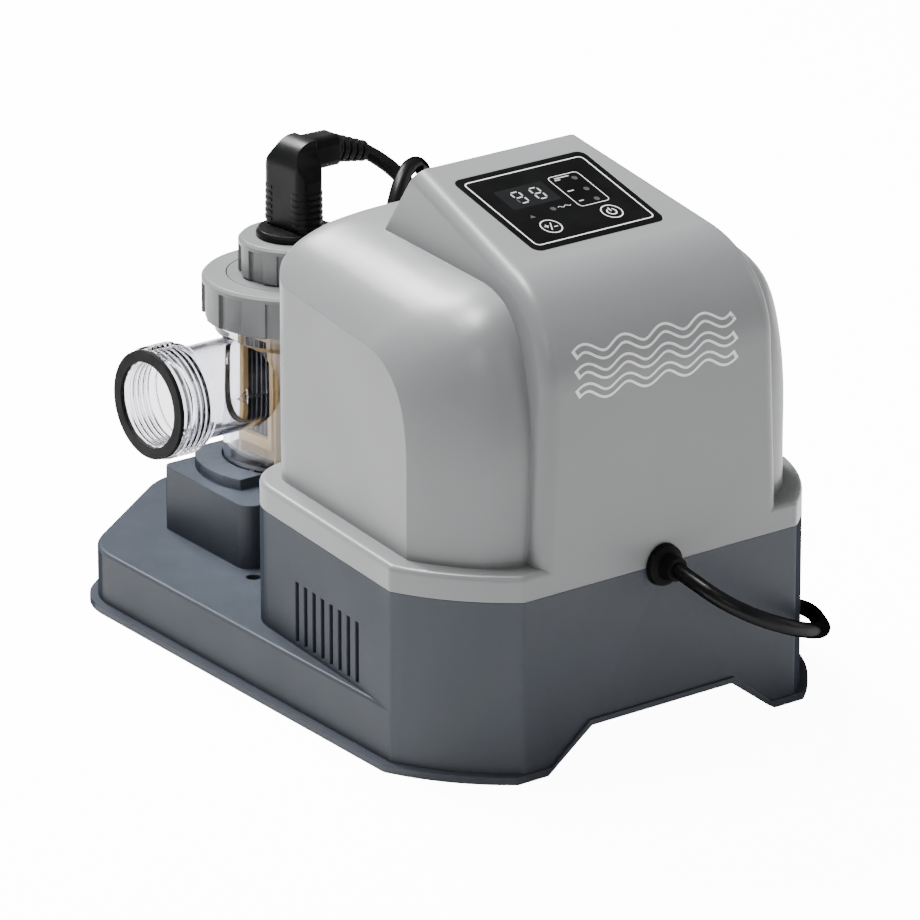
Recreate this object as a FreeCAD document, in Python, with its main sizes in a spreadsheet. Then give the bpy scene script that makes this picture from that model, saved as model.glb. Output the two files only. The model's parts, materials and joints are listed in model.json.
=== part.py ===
"""Salt chlorine generator: a grey power housing on a base tray, with a clear electrolysis cell behind it.

Units are millimetres. +Z is up, -Y is the front face, and the origin is on the floor under the middle of the
base. Heights are above the floor; depths called *_y are measured back from the front face.
"""
import FreeCAD, Part
import Sketcher
import math
import os

from FreeCAD import Placement, Rotation, Vector

DOC = FreeCAD.newDocument("salt_chlorine_generator")
X_AXIS = Vector(1, 0, 0)
Y_AXIS = Vector(0, 1, 0)
Z_AXIS = Vector(0, 0, 1)

# ---------------------------------------------------------------------------------------------------------
# Driving dimensions
# ---------------------------------------------------------------------------------------------------------
DIMENSIONS = {
    # frame
    "front_y": -196.6,
    "wall": 3.0,
    "cover_wall": 2.6,
    # base tray
    "deck_z": 32.0,
    "seam_z": 94.0,
    "floor_z": 27.0,
    "floor_thick": 3.0,
    "front_half": 88.4,
    "facet_half": 129.4,
    "facet_y": 54.4,
    "facet_bulge": 9.0,
    "side_taper": 0.187,
    "housing_back_y": 211.0,
    "housing_back_radius": 34.0,
    "deck_taper": 0.0942,
    "deck_corner_y": 338.4,
    "deck_apex_y": 409.3,
    "deck_corner_radius": 40.0,
    "deck_apex_radius": 40.0,
    "rim_out": 4.4,
    "rim_tall": 4.0,
    "arch_foot_half": 74.0,
    "arch_top_half": 46.0,
    "arch_tall": 20.1,
    "vent_first_y": 88.0,
    "vent_pitch": 9.04,
    "vent_count": 8,
    "vent_wide": 3.6,
    "vent_low_z": 34.6,
    "vent_high_z": 66.8,
    "deck_hole_x": 66.1,
    "deck_hole_y": 245.9,
    "deck_hole_radius": 4.0,
    # cradle that holds the cell
    "cell_y": 295.0,
    "cradle_top_z": 66.8,
    "cradle_front_half": 64.5,
    "cradle_back_half": 56.2,
    "cradle_half_deep": 41.0,
    "saddle_tall": 6.0,
    "saddle_outer": 52.9,
    "saddle_inner": 38.8,
    "saddle_open_y": 277.5,
    # cover
    "ledge_z": 107.5,
    "ledge_wide": 11.0,
    "spine_half": 83.5,
    "spine_taper": 0.140,
    "spine_draft": 0.0434,
    "spine_edge": 8.0,
    "brow_radius": 55.0,
    "panel_slope": 16.92,
    "panel_y": 52.18,
    "panel_z": 253.58,
    "spine_back_y": 128.0,
    "vault_radius": 88.5,
    "vault_centre": 75.0,
    "vault_top_z": 248.0,
    "vault_rise": 0.05,
    "dome_bow": 6.0,
    "roll_low_z": 152.0,
    "roll_tall": 90.0,
    "roll_deep_middle": 50.0,
    "roll_deep_side": 24.0,
    "dome_back_radius": 42.0,
    "dome_back_spare": 2.0,
    # control panel, in its own sloping frame: across, up the slope, out of the face
    "overlay_half": 42.0,
    "overlay_low": -4.5,
    "overlay_high": 64.6,
    "overlay_thick": 1.0,
    "overlay_proud": 0.2,
    "window_left": -28.0,
    "window_right": 2.5,
    "window_low": 31.0,
    "window_high": 48.3,
    "key_radius": 6.2,
    "key_gap": 0.2,
    "key_x": 19.5,
    "key_s": 11.9,
    "board_depth": 10.0,
    "board_thick": 1.6,
    # cell
    "port_z": 119.1,
    "port_face_x": 94.1,
    "port_outer": 24.7,
    "port_inner": 22.0,
    "thread_crest": 29.75,
    "thread_root": 27.9,
    "thread_long": 19.0,
    "thread_pitch": 3.2,
    "gasket_outer": 28.7,
    "gasket_inner": 22.7,
    "gasket_thick": 2.3,
    "cell_outer": 38.0,
    "cell_inner": 34.6,
    "neck_outer": 41.8,
    "nut_outer": 48.4,
    "nut_low_z": 149.7,
    "nut_top_z": 172.1,
    "head_radius": 35.2,
    "lock_outer": 29.2,
    "lock_low_z": 172.4,
    "lock_top_z": 192.1,
    # cords
    "cord_wide": 8.0,
    "grommet_z": 94.0,
}


def make_sheet(values):
    """The spreadsheet that every bound size is read from."""
    sheet = DOC.addObject("Spreadsheet::Sheet", "dims")
    for row, (alias, value) in enumerate(values.items(), start=1):
        cell = "A%d" % row
        sheet.set(cell, repr(float(value)))
        sheet.setAlias(cell, alias)
    DOC.recompute()
    return sheet


SHEET = make_sheet(DIMENSIONS)
PARTS = []


def dim(alias):
    """The present value of one driving dimension."""
    return float(getattr(SHEET, alias))


def depth(distance):
    """The Y of a place that is this far behind the front face."""
    return dim("front_y") + distance


def keep(piece, label):
    """Names an object as a finished sub-part."""
    piece.Label = label
    PARTS.append(piece)
    return piece


# ---------------------------------------------------------------------------------------------------------
# Document objects bound to the sheet
# ---------------------------------------------------------------------------------------------------------
def bind(piece, **sizes):
    """Binds properties to expressions, where a bare alias is written with the sheet's name."""
    for name, expression in sizes.items():
        piece.setExpression(name, expression)
    return piece


def block(name, size, corner):
    """A box from expressions for its three sizes and its lowest corner."""
    piece = DOC.addObject("Part::Box", name)
    bind(piece, Length=size[0], Width=size[1], Height=size[2])
    for axis, expression in zip("xyz", corner):
        piece.setExpression("Placement.Base." + axis, expression)
    return piece


def subtract(name, base, tool):
    """One object with another taken out of it."""
    piece = DOC.addObject("Part::Cut", name)
    piece.Base = base
    piece.Tool = tool
    return piece


def solid(name, shape):
    """A document object that holds a shape worked out below."""
    piece = DOC.addObject("Part::Feature", name)
    piece.Shape = shape
    return piece


def pin_point(sketch, line, across, up):
    """Binds the first end of a sketch line to expressions for its two coordinates."""
    for kind, axis, expression in (("DistanceX", -2, across), ("DistanceY", -1, up)):
        if expression == "0":
            sketch.addConstraint(Sketcher.Constraint("PointOnObject", line, 1, axis))
            continue
        index = sketch.addConstraint(Sketcher.Constraint(kind, -1, 1, line, 1, 1.0))
        sketch.setExpression("Constraints[%d]" % index, expression)


def polygon_sketch(body, name, plane, corners):
    """A closed polygon on one of the body's planes, with every corner bound to the sheet."""
    sketch = body.newObject("Sketcher::SketchObject", name)
    support = [item for item in body.Origin.OriginFeatures if item.Role == plane][0]
    sketch.AttachmentSupport = [(support, "")]
    sketch.MapMode = "FlatFace"
    guesses = [Vector(evaluate(a), evaluate(b), 0) for a, b in corners]
    count = len(corners)
    for index in range(count):
        sketch.addGeometry(Part.LineSegment(guesses[index], guesses[(index + 1) % count]), False)
    for index in range(count):
        sketch.addConstraint(Sketcher.Constraint("Coincident", index, 2, (index + 1) % count, 1))
    for index, (across, up) in enumerate(corners):
        pin_point(sketch, index, across, up)
    return sketch


def evaluate(expression):
    """The number that an expression on the sheet has now."""
    words = expression.replace("dims.", "")
    total = 0.0
    for term in words.replace("- ", "+ -").split("+ "):
        term = term.strip()
        if not term:
            continue
        sign = -1.0 if term.startswith("-") else 1.0
        term = term.lstrip("-").strip()
        total += sign * (dim(term) if term in DIMENSIONS else float(term))
    return total


def turned(name, corners, placement=Placement()):
    """A solid of revolution about its own Z axis from (radius, height) corners."""
    body = DOC.addObject("PartDesign::Body", name)
    sketch = polygon_sketch(body, name + "_profile", "XZ_Plane", corners)
    DOC.recompute()
    feature = body.newObject("PartDesign::Revolution", name + "_turn")
    feature.Profile = sketch
    feature.ReferenceAxis = (sketch, ["V_Axis"])
    feature.Angle = 360.0
    body.Tip = feature
    body.Placement = placement
    return body


# ---------------------------------------------------------------------------------------------------------
# Shapes worked out with curves
# ---------------------------------------------------------------------------------------------------------
def rounded_outline(corners, height=0.0):
    """A closed wire through (x, y, radius) corners, with a tangent arc at each corner that has a radius."""
    count = len(corners)
    cuts = []
    for index, (x, y, radius) in enumerate(corners):
        here = Vector(x, y, height)
        before = Vector(*corners[index - 1][:2], height) - here
        after = Vector(*corners[(index + 1) % count][:2], height) - here
        before.normalize()
        after.normalize()
        half = before.getAngle(after) / 2.0
        reach = radius / math.tan(half) if radius else 0.0
        middle = before + after
        middle.normalize()
        centre_away = radius / math.sin(half) - radius if radius else 0.0
        cuts.append((here + before * reach, here + middle * centre_away, here + after * reach, bool(radius)))
    edges = []
    for index, (start, middle, end, curved) in enumerate(cuts):
        if curved:
            edges.append(Part.Arc(start, middle, end).toShape())
        following = cuts[(index + 1) % count][0]
        if (following - end).Length > 1e-6:
            edges.append(Part.LineSegment(end, following).toShape())
    return Part.Wire(edges)


def mirror_corners(right_side):
    """Corners for a closed outline that is the same left and right, from the right-hand ones in order."""
    left = [(-x, y, radius) for x, y, radius in reversed(right_side) if x > 1e-9]
    return right_side + left


def side_x(distance, taper):
    """Half the width of the base at a distance behind the front face."""
    return dim("facet_half") - taper * (distance - dim("facet_y"))


def front_corners():
    """The right-hand front corners that the housing and the deck share: a flat front and a bowed facet."""
    front = dim("front_half")
    facet = dim("facet_half")
    run_x = facet - front
    run_y = dim("facet_y")
    span = math.hypot(run_x, run_y)
    bulge = dim("facet_bulge")
    mid_x = front + run_x / 2 + bulge * run_y / span
    mid_y = run_y / 2 - bulge * run_x / span
    return [(front, depth(0), 4.0), (mid_x, depth(mid_y), 115.0), (facet, depth(run_y), 4.0)]


def housing_outline(inset, height):
    """The outline of the power housing at the seam, moved inwards by an inset."""
    back = dim("housing_back_y")
    corners = front_corners()
    corners.append((side_x(back, dim("side_taper")), depth(back), dim("housing_back_radius")))
    wire = rounded_outline(mirror_corners(corners), height)
    return wire.makeOffset2D(-inset) if inset else wire


def deck_outline(inset, height):
    """The outline of the base tray's deck, moved inwards by an inset or outwards by a negative one."""
    corner_y = dim("deck_corner_y")
    corners = front_corners()
    corners.append((side_x(corner_y, dim("deck_taper")), depth(corner_y), dim("deck_corner_radius")))
    corners.append((0.0, depth(dim("deck_apex_y")), dim("deck_apex_radius")))
    wire = rounded_outline(mirror_corners(corners), height)
    return wire.makeOffset2D(-inset) if inset else wire


def prism(wire, tall):
    """A wire filled and raised."""
    return Part.Face(wire).extrude(Vector(0, 0, tall))


def soften(shape, radius, wanted):
    """Fillets the edges that a test picks, and gives the shape back unchanged where none is picked."""
    edges = [edge for edge in shape.Edges if wanted(edge)]
    return shape.makeFillet(radius, edges) if edges else shape


def level_at(height):
    """A test for edges that lie flat at one height."""
    return lambda edge: abs(edge.BoundBox.ZMin - height) < 1e-4 and abs(edge.BoundBox.ZMax - height) < 1e-4


# ---------------------------------------------------------------------------------------------------------
# Base tray
# ---------------------------------------------------------------------------------------------------------
BOSS_RADIUS = 6.0
BOSS_PLACES = [(110.0, 82.0), (92.6, 172.0), (60.0, 8.4)]


def both_sides(places):
    """Each (x, distance back) place and its mirror image."""
    return [(side * x, depth(y)) for x, y in places for side in (-1, 1)]


def cradle_block(inset, low, high):
    """The raised block under the cell, whose sides follow the taper of the deck."""
    front = depth(dim("cell_y") - dim("cradle_half_deep"))
    back = depth(dim("cell_y") + dim("cradle_half_deep"))
    corners = [(dim("cradle_front_half"), front, 8.0), (dim("cradle_back_half"), back, 5.0)]
    return prism(rounded_outline(mirror_corners(corners), low).makeOffset2D(-inset or 0.01), high - low)


def saddle():
    """The C-shaped wall on the cradle that the cell stands in, open towards the housing."""
    low = dim("cradle_top_z")
    tall = dim("saddle_tall")
    centre = Vector(0, depth(dim("cell_y")), low - 1)
    ring = Part.makeCylinder(dim("saddle_outer"), tall + 1, centre)
    ring = ring.cut(Part.makeCylinder(dim("saddle_inner"), tall + 1, centre))
    keep_back = Part.makeBox(200, 100, 100, Vector(-100, depth(dim("saddle_open_y")), low - 10))
    return ring.common(keep_back).common(cradle_block(2.0, low - 5, low + 20))


def vent_cutters():
    """Upright slots through both side walls of the housing."""
    slots = []
    wide = dim("vent_wide")
    tall = dim("vent_high_z") - dim("vent_low_z")
    for index in range(int(dim("vent_count"))):
        distance = dim("vent_first_y") + index * dim("vent_pitch")
        edge = side_x(distance, dim("side_taper"))
        for side in (-1, 1):
            slot = Part.makeBox(16, wide, tall, Vector(-8, -wide / 2, 0))
            slot.translate(Vector(side * edge, depth(distance), dim("vent_low_z")))
            slots.append(slot)
    return slots


def arch_cutter():
    """The low arch in the front skirt, which leaves a foot at each corner."""
    foot = dim("arch_foot_half")
    top = dim("arch_top_half")
    tall = dim("arch_tall")
    front = depth(-20)
    points = [(-foot - 1.4, -1), (foot + 1.4, -1), (top, tall), (-top, tall)]
    loop = [Vector(x, front, z) for x, z in points]
    return Part.Face(Part.makePolygon(loop + loop[:1])).extrude(Vector(0, 34, 0))


def arch_rim():
    """The moulded lip that follows the arch."""
    foot = dim("arch_foot_half")
    top = dim("arch_top_half")
    tall = dim("arch_tall")
    lip = 3.0
    points = [(-foot - lip, 0), (foot + lip, 0), (top + 1.2, tall + lip), (-top - 1.2, tall + lip)]
    loop = [Vector(x, depth(-1.6), z) for x, z in points]
    return Part.Face(Part.makePolygon(loop + loop[:1])).extrude(Vector(0, 3.2, 0))


def base_shell():
    wall = dim("wall")
    deck = dim("deck_z")
    seam = dim("seam_z")
    floor = dim("floor_z")
    under = floor - dim("floor_thick")
    shape = prism(deck_outline(0, 0), deck)
    shape = soften(shape, 2.0, level_at(deck))
    rim = prism(deck_outline(-dim("rim_out"), 0), dim("rim_tall"))
    rim = rim.common(Part.makeBox(400, 600, 40, Vector(-200, depth(-1.7), -1)))
    shape = shape.fuse([rim, arch_rim(), prism(housing_outline(0, 0), seam)])
    shape = shape.fuse(cradle_block(0, deck - 2, dim("cradle_top_z")))
    shape = shape.fuse(saddle())
    shape = shape.cut(prism(deck_outline(wall, -1), under + 1))
    gap = prism(deck_outline(wall, under - 1), deck - wall - under + 1)
    shape = shape.cut(gap.cut(prism(housing_outline(0, 0), seam)))
    shape = shape.cut(cradle_block(wall, deck - wall - 1, dim("cradle_top_z") - wall))
    shape = shape.cut(prism(housing_outline(wall, floor), seam))
    bosses = []
    sinks = []
    for x, y in both_sides(BOSS_PLACES):
        bosses.append(Part.makeCylinder(BOSS_RADIUS, seam - under, Vector(x, y, under)))
        sinks.append(Part.makeCylinder(4.0, seam - 10 - under + 1, Vector(x, y, under - 1)))
        sinks.append(Part.makeCylinder(2.2, 30, Vector(x, y, seam - 15)))
    shape = shape.fuse(bosses)
    for x, y in both_sides([(dim("deck_hole_x"), dim("deck_hole_y"))]):
        sinks.append(Part.makeCylinder(dim("deck_hole_radius"), 60, Vector(x, y, 0)))
    for x, y in both_sides([(24.0, dim("cell_y"))]):
        sinks.append(Part.makeCylinder(2.2, 60, Vector(x, y, 20)))
    opening = Part.makeCylinder(9.0, 40, Vector(0, depth(-20), dim("grommet_z")), Y_AXIS)
    tools = sinks + vent_cutters() + [arch_cutter(), opening]
    return shape.cut(tools).removeSplitter()


# ---------------------------------------------------------------------------------------------------------
# Cover
# ---------------------------------------------------------------------------------------------------------
def panel_frame(across, up, out):
    """A point given in the control panel's sloping frame."""
    slope = math.radians(dim("panel_slope"))
    y = dim("panel_y") + up * math.cos(slope) - out * math.sin(slope)
    z = dim("panel_z") + up * math.sin(slope) + out * math.cos(slope)
    return Vector(across, depth(y), z)


PANEL_TURN = Rotation(X_AXIS, dim("panel_slope"))


def spine(inset, low):
    """The raised middle of the cover: a flat front that rolls over into the sloping panel face."""
    slope = math.radians(dim("panel_slope"))
    rise = math.tan(slope)
    radius = dim("brow_radius") - inset
    drop = inset / math.cos(slope)
    edge_z = dim("panel_z") - rise * dim("panel_y")
    reach = dim("brow_radius") * math.tan((math.pi / 2 - slope) / 2)
    centre_y = dim("brow_radius")
    centre_z = edge_z - reach
    start = Vector(0, depth(inset), centre_z)
    half_way = math.radians(135) + slope / 2
    middle = Vector(0, depth(centre_y + radius * math.cos(half_way)), centre_z + radius * math.sin(half_way))
    end = Vector(0, depth(centre_y - radius * math.sin(slope)), centre_z + radius * math.cos(slope))
    back_y = dim("spine_back_y")
    top = Vector(0, depth(back_y - inset * 0.4), edge_z + rise * (back_y - inset * 0.4) - drop)
    low_back = Vector(0, top.y + 42, top.z - 58)
    edges = [
        Part.LineSegment(Vector(0, depth(inset), low), start).toShape(),
        Part.Arc(start, middle, end).toShape(),
        Part.LineSegment(end, top).toShape(),
        Part.LineSegment(top, low_back).toShape(),
        Part.LineSegment(low_back, Vector(0, low_back.y, low)).toShape(),
        Part.LineSegment(Vector(0, low_back.y, low), Vector(0, depth(inset), low)).toShape(),
    ]
    profile = Part.Face(Part.Wire(edges))
    profile.translate(Vector(-120, 0, 0))
    bar = profile.extrude(Vector(240, 0, 0))
    return bar.common(spine_wedge(inset))


def spine_wedge(inset):
    """The space between the spine's two side walls, which lean in towards the top and towards the back."""
    corners = {}
    for z in (80.0, 300.0):
        for y in (-10.0, 230.0):
            half = dim("spine_half") - dim("spine_taper") * y - dim("spine_draft") * z - inset
            for side in (-1, 1):
                corners[side, y, z] = Vector(side * half, depth(y), z)
    loops = []
    for side in (-1, 1):
        loops.append([(side, -10.0, 80.0), (side, 230.0, 80.0), (side, 230.0, 300.0), (side, -10.0, 300.0)])
    for y in (-10.0, 230.0):
        loops.append([(-1, y, 80.0), (1, y, 80.0), (1, y, 300.0), (-1, y, 300.0)])
    for z in (80.0, 300.0):
        loops.append([(-1, -10.0, z), (1, -10.0, z), (1, 230.0, z), (-1, 230.0, z)])
    faces = []
    for loop in loops:
        points = [corners[key] for key in loop]
        faces.append(Part.Face(Part.makePolygon(points + points[:1])))
    return Part.makeSolid(Part.makeShell(faces))


def shoulder_dome(inset, low):
    """The lower, rounded body of the cover on both sides of the spine, cut off by its flat side walls."""
    return dome_solid(inset, low).common(prism(side_wall_outline(inset, low), 300 - low))


def side_wall_outline(inset, height):
    """The shoulders' sides and back, left open past the front so that only they cut."""
    ahead = -20.0
    back = dim("housing_back_y")
    taper = dim("side_taper")
    corners = [(side_x(ahead, taper), depth(ahead), 0.0)]
    corners.append((side_x(back, taper), depth(back), dim("housing_back_radius")))
    wire = rounded_outline(mirror_corners(corners), height)
    return wire.makeOffset2D(-dim("ledge_wide") - inset)


def smooth_larger(first, second, reach):
    """The larger of two numbers, rounded over where they are closer than a reach."""
    near = max(reach - abs(first - second), 0.0) / reach
    return max(first, second) + near * near * reach / 4


def in_from_front(x, y):
    """How far a place lies inside the housing's flat front and its bowed facets."""
    run_x = dim("facet_half") - dim("front_half")
    run_y = dim("facet_y")
    span = math.hypot(run_x, run_y)
    from_middle_x = abs(x) - dim("front_half") - run_x / 2
    from_middle_y = y - run_y / 2
    along = abs(from_middle_x * run_x + from_middle_y * run_y) / span / (span / 2)
    swell = 1 - along * along if along < 1 else 2 - 2 * along
    facet = (from_middle_y * run_x - from_middle_x * run_y) / span + dim("dome_bow") * swell
    return -smooth_larger(-y, -facet, 12.0)


def outside_front_roll(x, y, z):
    """How far a place is outside the upright front where it rolls back, tighter towards the side walls."""
    share = (abs(x) - 65.0) / (118.0 - 65.0)
    share = min(1.0, max(0.0, share))
    deep = dim("roll_deep_middle") * (1 - share) + dim("roll_deep_side") * share
    tall = dim("roll_tall")
    back = (deep - in_from_front(x, y) + dim("ledge_wide")) / deep
    up = max(0.0, z - dim("roll_low_z")) / tall
    back = max(0.0, back)
    size = math.hypot(back, up)
    if size < 0.01:
        return -deep
    steepness = math.hypot(back / deep, up / tall) / size
    return max(-60.0, (size - 1) / steepness)


def outside_vault(x, y, z):
    """How far a place is outside the round vault that springs from each side wall."""
    radius = dim("vault_radius")
    inward = side_x(y, dim("side_taper")) - dim("ledge_wide") - abs(x)
    level = z - dim("vault_rise") * (y - 100.0) - (dim("vault_top_z") - radius)
    outward = dim("vault_centre") - inward
    if level < 0:
        return outward - radius
    return math.hypot(max(0.0, outward), level) - radius


def outside_back_roll(y, z):
    """How far a place is outside the back wall where it rolls forward."""
    radius = dim("dome_back_radius")
    past = y - (dim("housing_back_y") - dim("ledge_wide") + dim("dome_back_spare") - radius)
    level = z - (dim("vault_top_z") + 8 - radius)
    if level < 0:
        return past - radius
    return math.hypot(max(0.0, past), level) - radius


def outside_dome(x, y, z):
    """How far a place is outside the shoulders, negative within them."""
    front = outside_front_roll(x, y, z)
    upper = smooth_larger(front, outside_vault(x, y, z), 18.0)
    return smooth_larger(upper, outside_back_roll(y, z), 12.0)


def dome_point(turn, rise, inset, low):
    """Where a ray from the middle of the dome's floor leaves it, by halving the interval."""
    turn = math.radians(turn)
    rise = math.radians(rise)
    step_x = math.sin(turn) * math.cos(rise)
    step_y = -math.cos(turn) * math.cos(rise)
    step_z = math.sin(rise)
    near = 20.0
    far = 300.0
    for _ in range(32):
        middle = (near + far) / 2
        if outside_dome(step_x * middle, DOME_MIDDLE_Y + step_y * middle, low + step_z * middle) < -inset:
            near = middle
        else:
            far = middle
    return Vector(step_x * near, depth(DOME_MIDDLE_Y + step_y * near), low + step_z * near)


DOME_MIDDLE_Y = 100.0
DOME_TURNS = range(0, 361, 5)
DOME_RISES = range(-20, 81, 5)


def closing_ring(radius, z):
    """A small level ring round the dome's middle, which starts at the front like the skin's own edges."""
    points = []
    for turn in DOME_TURNS:
        angle = math.radians(turn % 360)
        points.append(Vector(radius * math.sin(angle), depth(DOME_MIDDLE_Y - radius * math.cos(angle)), z))
    curve = Part.BSplineCurve()
    curve.interpolate(points)
    return curve.toShape()


def dome_solid(inset, low):
    """The shoulders' smooth skin, closed below the housing and, under the spine, above."""
    rows = [[dome_point(turn % 360, rise, inset, low) for turn in DOME_TURNS] for rise in DOME_RISES]
    surface = Part.BSplineSurface()
    surface.interpolate(rows)
    skin = surface.toShape()
    faces = [skin]
    low_edge = min(skin.Edges, key=lambda edge: edge.CenterOfMass.z)
    high_edge = max(skin.Edges, key=lambda edge: edge.CenterOfMass.z)
    for edge, ring_z in ((low_edge, low - 60.0), (high_edge, dim("vault_top_z") - 20.0)):
        ring = closing_ring(15.0, ring_z)
        faces.append(Part.makeRuledSurface(edge.Curve.toShape(), ring))
        faces.append(Part.Face(Part.Wire([ring])))
    shell = Part.makeShell(faces)
    shell.sewShape()
    shape = Part.makeSolid(shell.Shells[0])
    if shape.Volume < 0:
        shape.reverse()
    return shape


def cover_form(inset, low):
    """The cover's outside, or with an inset its inside."""
    ledge = dim("ledge_z") - inset
    band = prism(housing_outline(inset, low), ledge - low)
    middle = soften(spine(inset, low), dim("spine_edge") - inset, spine_long_edge)
    if not inset:
        band = soften(band, 3.0, level_at(ledge))
    shoulders = shoulder_dome(inset, low)
    return band.fuse([shoulders, middle])


def spine_long_edge(edge):
    """Picks the edges that run along both sides and over the brow of the spine."""
    box = edge.BoundBox
    middle_x = (box.XMin + box.XMax) / 2
    high = box.ZMax > 180 and box.ZMax > dim("seam_z") + 5
    at_back_foot = box.YMin > depth(dim("spine_back_y") + 10)
    return abs(middle_x) > 30 and high and not at_back_foot and box.YMax < depth(dim("spine_back_y") + 30)


def panel_cutters():
    """The overlay's shallow recess and the openings below it for the display, the keys and the lamps."""
    proud = dim("overlay_proud")
    sunk = dim("overlay_thick") - proud
    low = dim("overlay_low")
    high = dim("overlay_high")
    half = dim("overlay_half")
    corners = [(half, low, 5.0), (half, high, 5.0), (-half, high, 5.0), (-half, low, 5.0)]
    tools = [prism(rounded_outline(corners, -sunk), 20)]
    left = dim("window_left")
    bottom = dim("window_low")
    wide = dim("window_right") - left
    tall = dim("window_high") - bottom
    tools.append(Part.makeBox(wide, tall, 12, Vector(left, bottom, -10)))
    for x in (-1, 1):
        place = Vector(x * dim("key_x"), dim("key_s"), -10)
        tools.append(Part.makeCylinder(dim("key_radius") + dim("key_gap"), 12, place))
    for x, s in LAMP_PLACES:
        tools.append(Part.makeCylinder(1.6, 12, Vector(x, s, -10)))
    placed = Placement(panel_frame(0, 0, 0), PANEL_TURN)
    return [tool.transformGeometry(placed.toMatrix()) for tool in tools]


LAMP_PLACES = [(21.4, 44.5), (20.7, 34.0), (20.0, 24.6), (-23.1, 22.7), (-8.0, 24.8)]
BOARD_POSTS = [(-36.5, 1.5), (36.5, 1.5), (-36.5, 60.0), (36.5, 60.0)]


def board_posts():
    """The posts inside the cover that the control board is screwed to."""
    tall = dim("board_depth") - dim("board_thick") - dim("cover_wall") + 1
    placed = Placement(panel_frame(0, 0, 0), PANEL_TURN)
    posts = []
    for x, s in BOARD_POSTS:
        low = -dim("board_depth") + dim("board_thick")
        post = Part.makeCylinder(3.2, tall, Vector(x, s, low))
        post = post.cut(Part.makeCylinder(1.25, tall - 1.5, Vector(x, s, low)))
        posts.append(post.transformGeometry(placed.toMatrix()))
    return posts


def top_cover():
    seam = dim("seam_z")
    wall = dim("cover_wall")
    outside = cover_form(0, seam)
    inside = cover_form(wall, seam - 1)
    shape = outside.cut(inside)
    posts = []
    holes = []
    for x, y in both_sides(BOSS_PLACES):
        boss = Part.makeCylinder(BOSS_RADIUS, 30, Vector(x, y, seam)).common(outside)
        posts.append(boss)
        holes.append(Part.makeCylinder(1.95, 22, Vector(x, y, seam - 1)))
    shape = shape.fuse(posts + board_posts())
    opening = Part.makeCylinder(9.0, 40, Vector(0, depth(-20), dim("grommet_z")), Y_AXIS)
    gland = Part.makeCylinder(7.2, 60, Vector(GLAND_X, depth(170), GLAND_Z), Y_AXIS)
    return shape.cut(holes + panel_cutters() + [opening, gland])


GLAND_X = 40.0
GLAND_Z = 150.0


# ---------------------------------------------------------------------------------------------------------
# Small shared makers
# ---------------------------------------------------------------------------------------------------------
def lathe(corners, centre=Vector(), direction=Z_AXIS):
    """A solid of revolution from (radius, height) corners, stood at a centre along a direction."""
    loop = [Vector(radius, 0, height) for radius, height in corners]
    shape = Part.Face(Part.makePolygon(loop + loop[:1])).revolve(Vector(), Z_AXIS, 360)
    shape = Part.makeSolid(shape.Shells[0]) if not shape.Solids else shape.Solids[0]
    shape.Placement = Placement(centre, Rotation(Z_AXIS, direction))
    return shape


def screw(head_radius, head_tall, shank_radius, shank_long):
    """A pan-head screw that points up, with its head's underside at the origin's height."""
    corners = [
        (0.0, -head_tall),
        (head_radius * 0.7, -head_tall),
        (head_radius, -head_tall * 0.5),
        (head_radius, 0.0),
        (shank_radius, 0.0),
        (shank_radius, shank_long - shank_radius),
        (0.0, shank_long),
    ]
    body = lathe(corners)
    slots = []
    for turn in (0, 90):
        slot_long = head_radius * 1.1
        slot = Part.makeBox(slot_long, 0.8, head_tall * 0.5, Vector(-slot_long / 2, -0.4, -head_tall))
        slot.rotate(Vector(), Z_AXIS, turn)
        slots.append(slot)
    return body.cut(slots)


def copies(shape, placements):
    """One node of several separate solids, all the same."""
    solids = []
    for placement in placements:
        one = shape.copy()
        one.Placement = placement.multiply(one.Placement)
        solids.append(one)
    return Part.Compound(solids)


def upright(x, y, z):
    return Placement(Vector(x, y, z), Rotation())


def on_panel(x, s, out):
    """A placement square to the control panel."""
    return Placement(panel_frame(x, s, out), PANEL_TURN)


def side_recesses(outer, low, high, deep, count, open_degrees):
    """The sunk fields between the grip ribs of a nut, as cutters about the Z axis."""
    ring = Part.makeCylinder(outer + 2, high - low, Vector(0, 0, low))
    ring = ring.cut(Part.makeCylinder(outer - deep, high - low, Vector(0, 0, low)))
    reach = outer * 2
    half = math.radians(open_degrees / 2)
    spread = reach * math.tan(half)
    wedge_loop = [Vector(), Vector(reach, -spread, 0), Vector(reach, spread, 0)]
    wedge = Part.Face(Part.makePolygon(wedge_loop + wedge_loop[:1])).extrude(Vector(0, 0, high - low))
    wedge.translate(Vector(0, 0, low))
    field = ring.common(wedge)
    fields = []
    for index in range(count):
        one = field.copy()
        one.rotate(Vector(), Z_AXIS, index * 360.0 / count + 8)
        fields.append(one)
    return Part.Compound(fields)


# ---------------------------------------------------------------------------------------------------------
# Cell
# ---------------------------------------------------------------------------------------------------------
def at_cell(z=0.0):
    return Placement(Vector(0, depth(dim("cell_y")), z), Rotation())


def port_sleeve(side):
    """One hose port: a pipe, a collar and a coarse outside thread, along the X axis."""
    face = dim("port_face_x")
    pipe = dim("port_outer")
    root = dim("thread_root")
    crest = dim("thread_crest")
    start = face - dim("thread_long")
    pitch = dim("thread_pitch")
    corners = [(0.0, 20.0), (pipe, 20.0), (pipe, start - 3.0), (root, start - 2.4), (root, start + 1.2)]
    at = start + 1.2
    while at + pitch < face:
        corners += [(crest, at + 0.9), (crest, at + 1.7), (root, at + 2.6), (root, at + pitch)]
        at += pitch
    corners += [(root, face), (0.0, face)]
    sleeve = lathe(corners)
    for turn in (0, 180):
        notch = Part.makeBox(4, 5, dim("thread_long") - 2, Vector(root + 0.2, -2.5, start + 1))
        notch.rotate(Vector(), Z_AXIS, turn)
        sleeve = sleeve.cut(notch)
    sleeve.rotate(Vector(), Y_AXIS, side * 90)
    return sleeve


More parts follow.
